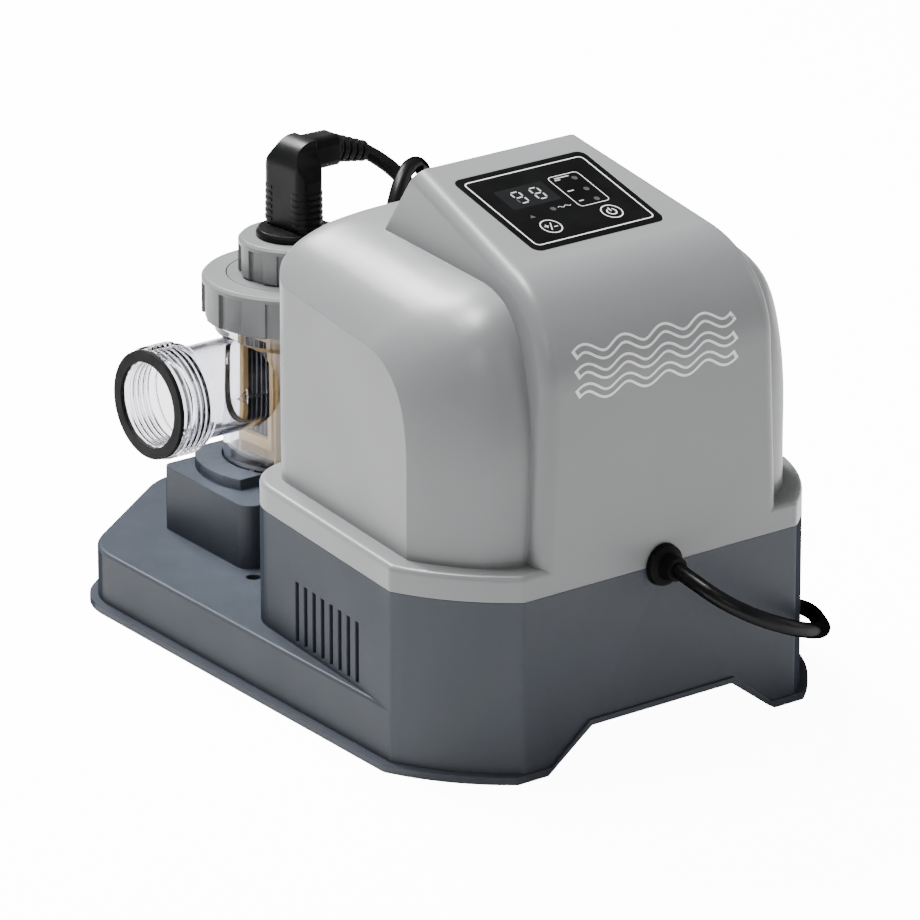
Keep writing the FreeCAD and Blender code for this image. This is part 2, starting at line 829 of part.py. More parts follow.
def cell_body():
    low = dim("cradle_top_z")
    outer = dim("cell_outer")
    inner = dim("cell_inner")
    neck = dim("neck_outer")
    top = 165.0
    vessel = [(0.0, low), (outer, low), (outer, 139.0), (neck, 142.5), (neck, top), (0.0, top)]
    hollow = [(0.0, low + 5), (inner - 3, low + 5), (inner, low + 8), (inner, top + 1), (0.0, top + 1)]
    shape = lathe(vessel)
    sleeves = []
    bores = []
    for side in (-1, 1):
        sleeve = port_sleeve(side)
        sleeve.translate(Vector(0, 0, dim("port_z")))
        sleeves.append(sleeve)
        bore = Part.makeCylinder(dim("port_inner"), 120, Vector(0, 0, dim("port_z")), X_AXIS * side)
        bores.append(bore)
    shape = shape.fuse(sleeves)
    holes = [Part.makeCylinder(1.95, 4, Vector(x, 0, low)) for x in (-24, 24)]
    shape = shape.cut([lathe(hollow)] + bores + holes)
    shape.Placement = at_cell()
    return shape


def grip_nut(name, outer, bore, lip, low, top):
    """A ribbed nut whose top lip holds down what is under it."""
    edge = 1.6
    corners = [
        (bore, low),
        (outer + " - 0.8", low),
        (outer, low + " + 0.8"),
        (outer, top + " - %s" % edge),
        (outer + " - %s" % edge, top),
        (lip, top),
        (lip, top + " - 2.8"),
        (bore, top + " - 2.8"),
    ]
    blank = turned(name + "_blank", corners, at_cell())
    cutter = side_recesses(evaluate(outer), evaluate(low) - 1, evaluate(top) - 3.4, 1.7, 10, 20.0)
    cutter.Placement = at_cell()
    fields = solid(name + "_fields", cutter)
    return subtract(name, blank, fields)


def electrode_head():
    """The plug-in head that seals the cell and carries the plates."""
    corners = [
        ("0", "150"),
        ("32.8", "150"),
        ("34.3", "151.5"),
        ("34.3", "156"),
        ("32.1", "156"),
        ("32.1", "158.6"),
        ("34.3", "158.6"),
        ("34.3", "165.2"),
        ("dims.neck_outer - 0.4", "165.2"),
        ("dims.neck_outer - 0.4", "dims.nut_top_z - 3.2"),
        ("dims.head_radius", "dims.nut_top_z - 3.2"),
        ("dims.head_radius", "dims.nut_top_z"),
        ("21", "dims.nut_top_z"),
        ("21", "184"),
        ("14", "184"),
        ("14", "176"),
        ("0", "176"),
    ]
    blank = turned("head_blank", corners, at_cell())
    tool = [Part.makeCylinder(1.55, 40, Vector(x, 0, 140)) for x in (-6, 6)]
    cutter = Part.Compound(tool)
    cutter.Placement = at_cell()
    return subtract("electrode_head", blank, solid("head_pin_holes", cutter))


def head_seal():
    """The O-ring in the head's groove."""
    ring = DOC.addObject("Part::Torus", "head_seal")
    bind(ring, Radius1="(32.1 + dims.cell_inner) / 2", Radius2="1.2")
    ring.Placement = at_cell(157.3)
    return ring


PLATE_COUNT = 7
PLATE_PITCH = 4.0


def electrode_plates():
    """Seven thin coated plates that stand side by side, with a gap for water between each two."""
    plates = []
    middle = (PLATE_COUNT - 1) / 2
    for index in range(PLATE_COUNT):
        y = (index - middle) * PLATE_PITCH
        plates.append(Part.makeBox(46, 1.0, 64, Vector(-23, y - 0.5, 83)))
    shape = Part.Compound(plates)
    shape.Placement = at_cell()
    return shape


def electrode_frame():
    """The moulded carrier round the plates: two end walls with windows, a foot and a top block."""
    pieces = [Part.makeBox(58, 30, 3, Vector(-29, -15, 147))]
    for side in (-1, 1):
        wall = Part.makeBox(50, 2, 74, Vector(-25, side * 15 - 1, 75))
        window = Part.makeBox(34, 6, 46, Vector(-17, side * 15 - 3, 92))
        pieces.append(wall.cut(window))
        foot = Part.makeBox(5, 28, 7.8, Vector(side * 19 - 2.5, -14, 75))
        pieces.append(foot)
    combs = []
    for side in (-1, 1):
        rail = Part.makeBox(3.2, 28, 66, Vector(side * 24.8 - 1.6, -14, 82.5))
        combs.append(rail.cut(Part.makeBox(6, 22, 54, Vector(side * 24.8 - 3, -11, 88))))
    bar = Part.makeBox(44, 5, 4, Vector(-22, -2.5, 75))
    shape = pieces[0].fuse(pieces[1:] + combs + [bar])
    grooves = electrode_plates()
    grooves.Placement = Placement()
    shape = shape.cut(grooves)
    shape.Placement = at_cell()
    return shape


def electrode_pins():
    """The two terminals that carry current from the plug's socket to the plates."""
    pin = lathe([(0, 150.2), (1.5, 150.2), (1.5, 181), (0.6, 182), (0, 182)])
    pins = copies(pin, [upright(-6, 0, 0), upright(6, 0, 0)])
    pins.Placement = at_cell()
    return pins


# ---------------------------------------------------------------------------------------------------------
# The cell's right-angle plug
# ---------------------------------------------------------------------------------------------------------
def upright_slab(corners, half_deep, along_x=False):
    """A level bar whose end is a rounded outline of (across, z, radius) corners."""
    outline = Part.Face(rounded_outline(corners))
    outline.rotate(Vector(), X_AXIS, 90)
    outline.translate(Vector(0, half_deep, 0))
    bar = outline.extrude(Vector(0, -2 * half_deep, 0))
    if along_x:
        bar.rotate(Vector(), Z_AXIS, 90)
    return bar


def plug_plan(half_x, half_y, corner, z):
    """The outline of the plug's body seen from above."""
    corners = [
        (half_x, -half_y, corner),
        (half_x, half_y, corner),
        (-half_x, half_y, corner),
        (-half_x, -half_y, corner),
    ]
    return rounded_outline(corners, z)


def plug_body():
    """The plug's tall flat body, rounded in plan, and drawn in at its shoulders towards the arm."""
    half_x = 8.0
    half_y = 17.8
    low = 195.0
    high = 243.4
    plan = prism(plug_plan(half_x, half_y, 6.6, low), high - low)
    shoulders = [
        (half_y, low, 0.0),
        (half_y - 0.9, 225.0, 8.0),
        (9.2, 239.0, 6.0),
        (9.2, high + 5, 0.0),
        (-9.2, high + 5, 0.0),
        (-9.2, 239.0, 6.0),
        (-half_y + 0.9, 225.0, 8.0),
        (-half_y, low, 0.0),
    ]
    elbow = [(-half_x, low, 0.0), (half_x, low, 0.0), (half_x, high, 0.0), (-half_x, high, 14.0)]
    return plan.common(upright_slab(shoulders, 20.0, along_x=True)).common(upright_slab(elbow, 30.0))


def plug_arm():
    """The arm that leaves the top of the plug's body to the right, round at the elbow."""
    corners = [(-8.0, 226.0, 3.0), (24.0, 226.0, 0.0), (24.0, 243.0, 0.0), (-8.0, 243.4, 14.0)]
    arm = upright_slab(corners, 8.8)
    long_edges = [edge for edge in arm.Edges if abs(edge.BoundBox.YLength) < 0.1 and edge.BoundBox.XMin < 23]
    return arm.makeFillet(5.0, long_edges)


def plug_ribs():
    """The six grip ribs that wrap each narrow side of the plug's body."""
    ribs = []
    for index in range(6):
        low = 199.0 + index * 3.4
        half_x = 8.4
        half_y = 18.4 - index * 0.1
        rib = prism(plug_plan(half_x, half_y, 6.8, low), 1.7)
        ribs.append(rib.cut(Part.makeBox(40, 17, 10, Vector(-20, -8.5, low - 4))))
    return ribs


def cell_plug():
    """A flat-sided plug: it stands on its round flange, and its arm turns to the right at the top."""
    base = lathe([
        (0, 184.2),
        (20.5, 184.2),
        (20.5, 189.0),
        (17.0, 189.0),
        (17.0, 192.3),
        (19.9, 192.3),
        (19.9, 194.6),
        (18.6, 196.2),
        (0, 196.2),
    ])
    sockets = [Part.makeCylinder(1.6, 12, Vector(x, 0, 172)) for x in (-6, 6)]
    nose = lathe([(0, 176.4), (13.6, 176.4), (13.6, 184.4), (0, 184.4)])
    shape = base.fuse([plug_body(), plug_arm(), nose] + plug_ribs()).cut(sockets)
    shape.Placement = at_cell()
    return shape


BOOT_START = (24.0, 295.0, 234.4)
BOOT_END = (47.0, 295.0, 228.0)


def place_at(point):
    """A vector for an (x, distance back, z) point."""
    return Vector(point[0], depth(point[1]), point[2])


def boot_along(start, end, first_radius, last_radius, ribs):
    """A tapered, ringed strain relief from one point to another."""
    line = end - start
    pitch = line.Length / ribs
    corners = [(0.0, 0.0)]
    for index in range(ribs):
        radius = first_radius + (last_radius - first_radius) * index / (ribs - 1)
        at = index * pitch
        corners += [(radius, at), (radius, at + pitch * 0.62)]
        if index < ribs - 1:
            corners += [(radius - 1.3, at + pitch * 0.7), (radius - 1.3, at + pitch)]
    corners.append((0.0, corners[-1][1] + pitch * 0.38))
    return lathe(corners, start, line)


# ---------------------------------------------------------------------------------------------------------
# Cords
# ---------------------------------------------------------------------------------------------------------
CELL_LEAD = [
    (47, 295, 228),
    (57, 291, 221.5),
    (65, 279, 208.5),
    (69, 262, 197),
    (65, 246, 187),
    (55, 233, 178.5),
    (39, 226, 172.5),
    (22.4, 221, 171),
    (12, 218, 175.5),
    (4, 215.5, 184),
    (-1, 214, 195),
    (-1, 214, 218.5),
    (14.5, 223.5, 239.5),
    (35.5, 236.5, 239.5),
    (50.5, 246.5, 222),
    (52, 248, 206),
    (51, 248, 190),
    (48, 246.5, 174.5),
    (44.5, 241.5, 163),
    (41.5, 233, 154.5),
    (40, 222, 150),
    (40, 212, 150),
]
MAINS_LEAD = [
    (0.0, -12.0, 94.0),
    (0.0, -25.0, 91.0),
    (4.5, -41.0, 84.5),
    (16.0, -53.0, 77.0),
    (33.0, -58.0, 69.5),
    (51.0, -54.0, 62.0),
    (68.0, -42.5, 55.0),
    (82.0, -28.5, 49.0),
    (95.5, -12.0, 43.0),
    (109.0, 6.0, 37.5),
    (123.0, 25.0, 32.0),
    (136.0, 49.0, 25.5),
    (144.0, 80.0, 17.0),
    (148.0, 118.0, 7.5),
    (147.5, 158.0, 4.0),
    (145.5, 200.0, 4.0),
    (143.0, 240.0, 4.0),
    (139.0, 278.0, 4.0),
    (131.0, 313.0, 4.0),
    (119.0, 346.7, 4.0),
    (104.8, 360.8, 4.0),
]
COIL_CENTRE = (143, 399, 0)
COIL_RADIUS = 46.0
PLUG_X = 197
PLUG_Z = 18
PLUG_FACE = 294
PLUG_BACK = 328
TAIL = [(PLUG_X, 385, 12), (PLUG_X, 368, 16), (PLUG_X, 354, PLUG_Z)]


def cord_tube(name, route, radius):
    """A plain tube along straight runs that are joined by tangent arcs."""
    points = [place_at(point) for point in route]
    edges = []
    here = points[0]
    radii = []
    for before, corner, after in zip(points, points[1:], points[2:]):
        back = before - corner
        ahead = after - corner
        run = min(back.Length, ahead.Length)
        turn = math.pi - back.getAngle(ahead)
        back.normalize()
        ahead.normalize()
        reach = 0.45 * run
        arc_radius = reach / math.tan(turn / 2)
        radii.append(round(arc_radius, 1))
        middle = back + ahead
        middle.normalize()
        away = arc_radius / math.cos(turn / 2) - arc_radius
        start = corner + back * reach
        end = corner + ahead * reach
        edges.append(Part.LineSegment(here, start).toShape())
        edges.append(Part.Arc(start, corner + middle * away, end).toShape())
        here = end
    edges.append(Part.LineSegment(here, points[-1]).toShape())
    path = Part.Wire(edges)
    section = Part.Wire([Part.makeCircle(radius, points[0], points[1] - points[0])])
    tube = path.makePipeShell([section], True, False)
    expected = math.pi * radius ** 2 * path.Length
    print("%s: length %.0f mm, volume %.4f of section x length" % (name, path.Length, tube.Volume / expected))
    print("   arc radii", radii)
    return tube


def mains_coil():
    """The outer form of the wound part of the mains lead: three turns wide and two high."""
    tall = 2 * dim("cord_wide")
    inner = COIL_RADIUS - 0.75 * tall
    outer = COIL_RADIUS + 0.75 * tall
    corners = [(inner, 0), (outer, 0), (outer, tall), (inner, tall)]
    return lathe(corners, place_at(COIL_CENTRE))


def mains_plug():
    """A round two-pin plug that lies on its side, without its pins."""
    corners = [
        (0, 0),
        (17.2, 0),
        (18.0, 0.8),
        (18.0, 14),
        (15.0, 17),
        (14.2, 28),
        (11.0, 34),
        (0, 34),
    ]
    front = place_at((PLUG_X, PLUG_FACE, PLUG_Z))
    body = lathe(corners, front, Y_AXIS)
    holes = []
    for side in (-1, 1):
        holes.append(Part.makeCylinder(2.4, 6, front + Vector(side * 9.5, 0, 0), Y_AXIS))
    return body.cut(holes)


def plug_pins():
    """The two pins of the mains plug."""
    long = 25
    pin = lathe([(0, 0), (1.4, 0), (2.4, 1.2), (2.4, long), (0, long)], Vector(), Y_AXIS)
    front = place_at((PLUG_X, PLUG_FACE + 6 - long, PLUG_Z))
    return copies(pin, [Placement(front + Vector(side * 9.5, 0, 0), Rotation()) for side in (-1, 1)])


# ---------------------------------------------------------------------------------------------------------
# Electronics
# ---------------------------------------------------------------------------------------------------------
def heat_sink():
    """A comb of fins on a base plate."""
    base = Part.makeBox(4, 62, 34, Vector(70, depth(96), 38.8))
    fins = []
    for index in range(8):
        fins.append(Part.makeBox(12, 2, 34, Vector(58.5, depth(98 + index * 8), 38.8)))
    return base.fuse(fins)


def terminal_block():
    """A six-way screw terminal for the two leads."""
    left = 18
    foot = 38.8
    body = Part.makeBox(14, 48, 12, Vector(left, depth(122), foot))
    wells = []
    for index in range(6):
        y = depth(126 + index * 8)
        wells.append(Part.makeCylinder(2.4, 5, Vector(left + 7, y, foot + 7.2)))
        wells.append(Part.makeBox(6, 4, 5, Vector(left - 1, y - 2, foot + 1.2)))
    return body.cut(wells)


def floor_standoffs():
    tall = 10.0
    post = lathe([(1.3, 0), (3.2, 0), (3.2, tall), (1.3, tall)])
    return copies(post, [upright(x, y, dim("floor_z")) for x, y in POWER_BOARD_HOLES])


POWER_BOARD_HOLES = [(x, depth(y)) for x in (12, 82) for y in (64, 156)]


# ---------------------------------------------------------------------------------------------------------
# Sub-parts, group by group
# ---------------------------------------------------------------------------------------------------------
SMALL_SCREW_HEAD = 2.6
SMALL_SCREW_SHANK = 1.2
BOARD_HOLE_RADIUS = 1.5


def build_housing():
    keep(solid("base_shell", base_shell()), "base_shell")
    keep(solid("top_cover", top_cover()), "top_cover")
    cover_screw = screw(3.6, 3.0, 1.9, 27)
    places = [upright(x, y, dim("seam_z") - 10) for x, y in both_sides(BOSS_PLACES)]
    keep(solid("cover_screws", copies(cover_screw, places)), "cover_screws")


def panel_overlay():
    """The printed film, with openings for the display and the two keys."""
    half = dim("overlay_half")
    low = dim("overlay_low")
    high = dim("overlay_high")
    thick = dim("overlay_thick")
    sunk = thick - dim("overlay_proud")
    corner = 5.0
    corners = [(half, low, corner), (half, high, corner), (-half, high, corner), (-half, low, corner)]
    sheet = prism(rounded_outline(corners, -sunk).makeOffset2D(-0.1), thick)
    left = dim("window_left")
    bottom = dim("window_low")
    wide = dim("window_right") - left
    tall = dim("window_high") - bottom
    holes = [Part.makeBox(wide, tall, thick, Vector(left, bottom, -sunk))]
    for side in (-1, 1):
        place = Vector(side * dim("key_x"), dim("key_s"), -5)
        holes.append(Part.makeCylinder(dim("key_radius") + dim("key_gap"), 10, place))
    return sheet.cut(holes)


def display_window():
    window = block(
        "display_window",
        ("dims.window_right - dims.window_left", "dims.window_high - dims.window_low", "dims.overlay_thick"),
        ("0", "0", "0"),
    )
    for axis in "xyz":
        window.setExpression("Placement.Base." + axis, None)
    sunk = dim("overlay_thick") - dim("overlay_proud")
    window.Placement = on_panel(dim("window_left"), dim("window_low"), -sunk)
    return window


def panel_key(name, side):
    """A round key with the stem that presses its switch."""
    stem_radius = "1.5"
    stem_low = "-4.4"
    head_low = "-2.2"
    corners = [
        ("0", stem_low),
        (stem_radius, stem_low),
        (stem_radius, head_low),
        ("dims.key_radius", head_low),
        ("dims.key_radius", "dims.overlay_proud"),
        ("0", "dims.overlay_proud"),
    ]
    return turned(name, corners, on_panel(side * dim("key_x"), dim("key_s"), 0))


def control_board():
    wide = 80.0
    tall = 64.5
    board = Part.makeBox(wide, tall, dim("board_thick"), Vector(-wide / 2, -1.5, -dim("board_depth")))
    return board.cut([Part.makeCylinder(BOARD_HOLE_RADIUS, 10, Vector(x, s, -15)) for x, s in BOARD_POSTS])


def board_top():
    """The height of the control board's upper face in the panel's frame."""
    return dim("board_thick") - dim("board_depth")


def display_module():
    return Part.makeBox(29, 16, 6.4, Vector(dim("window_left") + 0.7, dim("window_low") + 0.6, board_top()))


def indicator_lamps():
    lamp = lathe([(0, 0), (2.2, 0), (2.2, 1.0), (1.4, 1.0), (1.4, 6.6), (0.8, 7.4), (0, 7.4)])
    return copies(lamp, [upright(x, s, board_top()) for x, s in LAMP_PLACES])


def key_switches():
    body = Part.makeBox(6, 6, 2.6, Vector(-3, -3, board_top()))
    plunger = Part.makeCylinder(1.7, 3.4, Vector(0, 0, board_top()))
    places = [upright(side * dim("key_x"), dim("key_s"), 0) for side in (-1, 1)]
    return copies(body.fuse(plunger), places)


def control_board_screws():
    fixing = screw(SMALL_SCREW_HEAD, 1.8, SMALL_SCREW_SHANK, 5.5)
    return copies(fixing, [upright(x, s, -dim("board_depth")) for x, s in BOARD_POSTS])


def build_panel():
    keep(display_window(), "display_window")
    for name, side in (("boost_button", -1), ("power_button", 1)):
        keep(panel_key(name, side), name)
    in_panel = (
        ("panel_overlay", panel_overlay()),
        ("control_board", control_board()),
        ("display_module", display_module()),
        ("indicator_lamps", indicator_lamps()),
        ("key_switches", key_switches()),
        ("control_board_screws", control_board_screws()),
    )
    for name, shape in in_panel:
        piece = solid(name, shape)
        piece.Placement = on_panel(0, 0, 0)
        keep(piece, name)


BOARD_LIFT = 10.0
CORE_LEFT = -80.0
CORE_FRONT = 92.0
CORE_SIZE = (62.0, 44.0, 52.0)
CORE_WINDOWS = (-70.0, -39.0)
CORE_WINDOW_WIDE = 10.0
WINDING_TALL = 32.0
CAPACITOR_X = 24.0
CAPACITOR_BACKS = (74.0, 96.0)


def power_board():
    sizes = ("82", "104", "1.6")
    places = ("6", "dims.front_y + 58", "dims.floor_z + %s" % BOARD_LIFT)
    board = block("power_board_blank", sizes, places)
    holes = [upright(x, y, 30) for x, y in POWER_BOARD_HOLES]
    drill = solid("power_board_drill", copies(Part.makeCylinder(BOARD_HOLE_RADIUS, 20), holes))
    return subtract("power_board", board, drill)


def power_board_screws():
    down = Rotation(X_AXIS, 180)
    tops = [Placement(Vector(x, y, dim("floor_z") + BOARD_LIFT + 1.6), down) for x, y in POWER_BOARD_HOLES]
    return copies(screw(SMALL_SCREW_HEAD, 1.8, SMALL_SCREW_SHANK, 9), tops)


def core_windows():
    """The two windows through the transformer core that the winding passes."""
    low = dim("floor_z") + (CORE_SIZE[2] - WINDING_TALL) / 2
    size = (CORE_WINDOW_WIDE, 60, WINDING_TALL)
    return Part.Compound([Part.makeBox(*size, Vector(x, depth(CORE_FRONT - 8), low)) for x in CORE_WINDOWS])


def transformer_core():
    sizes = tuple(str(size) for size in CORE_SIZE)
    places = (str(CORE_LEFT), "dims.front_y + %s" % CORE_FRONT, "dims.floor_z")
    core = block("transformer_blank", sizes, places)
    return subtract("transformer_core_cut", core, solid("core_windows", core_windows()))


def transformer_winding():
    """The taped coil round the core's middle leg."""
    low = dim("floor_z") + (CORE_SIZE[2] - WINDING_TALL) / 2
    left = CORE_WINDOWS[0]
    right = CORE_WINDOWS[1] + CORE_WINDOW_WIDE
    coil = Part.makeBox(right - left, 66, WINDING_TALL, Vector(left, depth(CORE_FRONT - 11), low))
    coil = coil.makeFillet(5.0, [edge for edge in coil.Edges if edge.BoundBox.ZLength > WINDING_TALL - 2])
    core = Part.makeBox(*CORE_SIZE, Vector(CORE_LEFT, depth(CORE_FRONT), dim("floor_z")))
    return coil.cut(core.cut(core_windows()))


def capacitors():
    """Two upright cans, each with a rolled bead near its foot."""
    can = lathe([(0, 0), (8.5, 0), (9, 0.8), (9, 2.4), (8.4, 3.2), (9, 4.0), (9, 31), (8.2, 32), (0, 32)])
    foot_z = dim("floor_z") + BOARD_LIFT + 1.7
    return copies(can, [upright(CAPACITOR_X, depth(y), foot_z) for y in CAPACITOR_BACKS])


def build_power():
    keep(power_board(), "power_board")
    keep(solid("board_standoffs", floor_standoffs()), "board_standoffs")
    keep(solid("power_board_screws", power_board_screws()), "power_board_screws")
    keep(transformer_core(), "transformer_core")
    keep(solid("transformer_winding", transformer_winding()), "transformer_winding")
    keep(solid("heat_sink", heat_sink()), "heat_sink")
    keep(solid("capacitors", capacitors()), "capacitors")
    keep(solid("terminal_block", terminal_block()), "terminal_block")


def port_gasket(name, side):
    """The rubber ring on the mouth of a port."""
    face = Vector(side * dim("port_face_x"), depth(dim("cell_y")), dim("port_z"))
    corners = [
        ("dims.gasket_inner", "0"),
        ("dims.gasket_outer", "0"),
        ("dims.gasket_outer", "dims.gasket_thick"),
        ("dims.gasket_inner", "dims.gasket_thick"),
    ]
    return turned(name, corners, Placement(face, Rotation(Z_AXIS, X_AXIS * side)))


def union_nut():
    bore = "dims.neck_outer + 0.4"
    lip = "dims.head_radius + 0.5"
    return grip_nut("union_nut", "dims.nut_outer", bore, lip, "dims.nut_low_z", "dims.nut_top_z")


def lock_nut():
    bore = "21.3"
    lip = "17.4"
    return grip_nut("lock_nut", "dims.lock_outer", bore, lip, "dims.lock_low_z", "dims.lock_top_z")


def cell_screws():
    """The two screws that come up through the cradle into the cell's foot."""
    under = dim("cradle_top_z") - dim("wall")
    places = [upright(x, y, under) for x, y in both_sides([(24.0, dim("cell_y"))])]
    return copies(screw(4.0, 2.4, 1.9, 6.8), places)


def build_cell():
    keep(solid("cell_body", cell_body()), "cell_body")
    keep(union_nut(), "union_nut")
    keep(lock_nut(), "lock_nut")
    keep(electrode_head(), "electrode_head")
    keep(head_seal(), "head_seal")
    keep(solid("electrode_plates", electrode_plates()), "electrode_plates")
    keep(solid("electrode_frame", electrode_frame()), "electrode_frame")
    keep(solid("electrode_pins", electrode_pins()), "electrode_pins")
    keep(port_gasket("inlet_gasket", 1), "inlet_gasket")
    keep(port_gasket("outlet_gasket", -1), "outlet_gasket")
    keep(solid("cell_screws", cell_screws()), "cell_screws")
    keep(solid("cell_plug", cell_plug()), "cell_plug")


def cell_lead_gland():
    """The rubber bush that holds the cell lead in the cover's back wall, from its inner end outwards."""
    corners = [
        (0, 195),
        (9.5, 195),
        (9.5, 197),
        (7.0, 197),
        (7.0, 200.2),
        (9.5, 200.2),
        (9.0, 203.5),
        (6.4, 204.5),
        (5.4, 212),
        (0, 212),
    ]
    return lathe(corners, Vector(GLAND_X, depth(0), GLAND_Z), Y_AXIS)


def mains_grommet():
    """The rubber bush that holds the mains lead in the cover's front, from its inner end outwards."""
    corners = [
        (0, 0),
        (10.8, 0),
        (10.8, 2.6),
        (8.8, 3.0),
        (8.8, 6.2),
        (11.0, 6.6),
        (10.4, 9.4),
        (7.2, 11.0),
        (6.0, 18.0),
        (0, 18.0),
    ]
    return lathe(corners, Vector(0, depth(6.0), dim("grommet_z")), Y_AXIS * -1)


def build_leads():
    radius = dim("cord_wide") / 2
    boot = boot_along(place_at(BOOT_START), place_at(BOOT_END), 7.6, 5.6, 5)
    relief = boot_along(place_at(TAIL[-1]), place_at((PLUG_X, PLUG_BACK, PLUG_Z)), 5.4, 8.2, 6)
    keep(solid("cell_plug_boot", boot), "cell_plug_boot")
    keep(solid("cell_lead", cord_tube("cell_lead", CELL_LEAD, radius)), "cell_lead")
    keep(solid("cell_lead_gland", cell_lead_gland()), "cell_lead_gland")
    keep(solid("mains_grommet", mains_grommet()), "mains_grommet")
    keep(solid("mains_lead", cord_tube("mains_lead", MAINS_LEAD, radius)), "mains_lead")
    keep(solid("mains_coil", mains_coil()), "mains_coil")
    keep(solid("mains_tail", cord_tube("mains_tail", TAIL, radius)), "mains_tail")
    keep(solid("mains_plug", mains_plug()), "mains_plug")
    keep(solid("mains_plug_boot", relief), "mains_plug_boot")
    keep(solid("plug_pins", plug_pins()), "plug_pins")


def check_and_write():
    """Stops on any failed object, then writes one file for each sub-part."""
    DOC.recompute()
    for item in DOC.Objects:
        if "Invalid" in item.State or "Error" in item.State:
            raise RuntimeError("object failed: " + item.Name)
    for piece in PARTS:
        if piece.Shape.isNull() or not piece.Shape.isValid():
            raise RuntimeError("bad shape: " + piece.Label)
    os.makedirs("parts", exist_ok=True)
    for piece in PARTS:
        piece.Shape.exportStep("parts/%s.step" % piece.Label)
    print("wrote %d sub-parts" % len(PARTS))


build_housing()
build_panel()
build_power()
build_cell()
build_leads()
check_and_write()
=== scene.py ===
"""Salt chlorine generator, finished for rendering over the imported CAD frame.

Metres throughout. +X is to the right seen from the front, -Y is the front, +Z is up. Places called back are
distances behind the front face, as on the object's own drawing.
"""
import json
import math

import bmesh
import bpy
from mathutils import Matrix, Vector


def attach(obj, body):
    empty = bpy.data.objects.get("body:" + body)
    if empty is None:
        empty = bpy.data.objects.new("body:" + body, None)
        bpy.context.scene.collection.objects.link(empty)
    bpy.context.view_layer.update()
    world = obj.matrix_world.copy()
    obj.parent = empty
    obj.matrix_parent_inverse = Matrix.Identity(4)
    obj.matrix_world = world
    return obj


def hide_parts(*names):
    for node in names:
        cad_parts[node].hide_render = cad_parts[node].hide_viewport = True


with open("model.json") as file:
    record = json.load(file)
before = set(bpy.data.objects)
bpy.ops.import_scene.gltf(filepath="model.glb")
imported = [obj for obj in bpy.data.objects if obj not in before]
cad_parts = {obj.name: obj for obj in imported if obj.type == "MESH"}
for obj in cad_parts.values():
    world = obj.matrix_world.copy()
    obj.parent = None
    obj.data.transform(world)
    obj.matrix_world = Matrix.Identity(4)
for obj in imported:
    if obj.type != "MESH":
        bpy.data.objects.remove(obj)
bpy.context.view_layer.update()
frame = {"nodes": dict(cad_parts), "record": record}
NODES = frame["nodes"]
HOUSING = "housing"

FRONT_Y = -0.1966
CELL_BACK = 0.295
PORT_Z = 0.1191


def place(x, back, z):
    """A point from its distance behind the front face."""
    return Vector((x, FRONT_Y + back, z))


# ---------------------------------------------------------------------------------------------------------
# Camera
# ---------------------------------------------------------------------------------------------------------
AZIMUTH = math.radians(-39.09)
ELEVATION = math.radians(19.35)
AIM = place(-0.0291, 0.1229, 0.1213)
DISTANCE = 3.8997
LENS = 303.5


def add_camera():
    data = bpy.data.cameras.new("camera")
    data.lens = LENS
    data.sensor_width = 36.0
    data.clip_end = 40.0
    camera = bpy.data.objects.new("camera", data)
    bpy.context.scene.collection.objects.link(camera)
    flat = math.cos(ELEVATION)
    back = Vector((math.sin(AZIMUTH) * flat, -math.cos(AZIMUTH) * flat, math.sin(ELEVATION)))
    camera.location = AIM + back * DISTANCE
    camera.rotation_euler = back.to_track_quat("Z", "Y").to_euler()
    bpy.context.scene.camera = camera


add_camera()


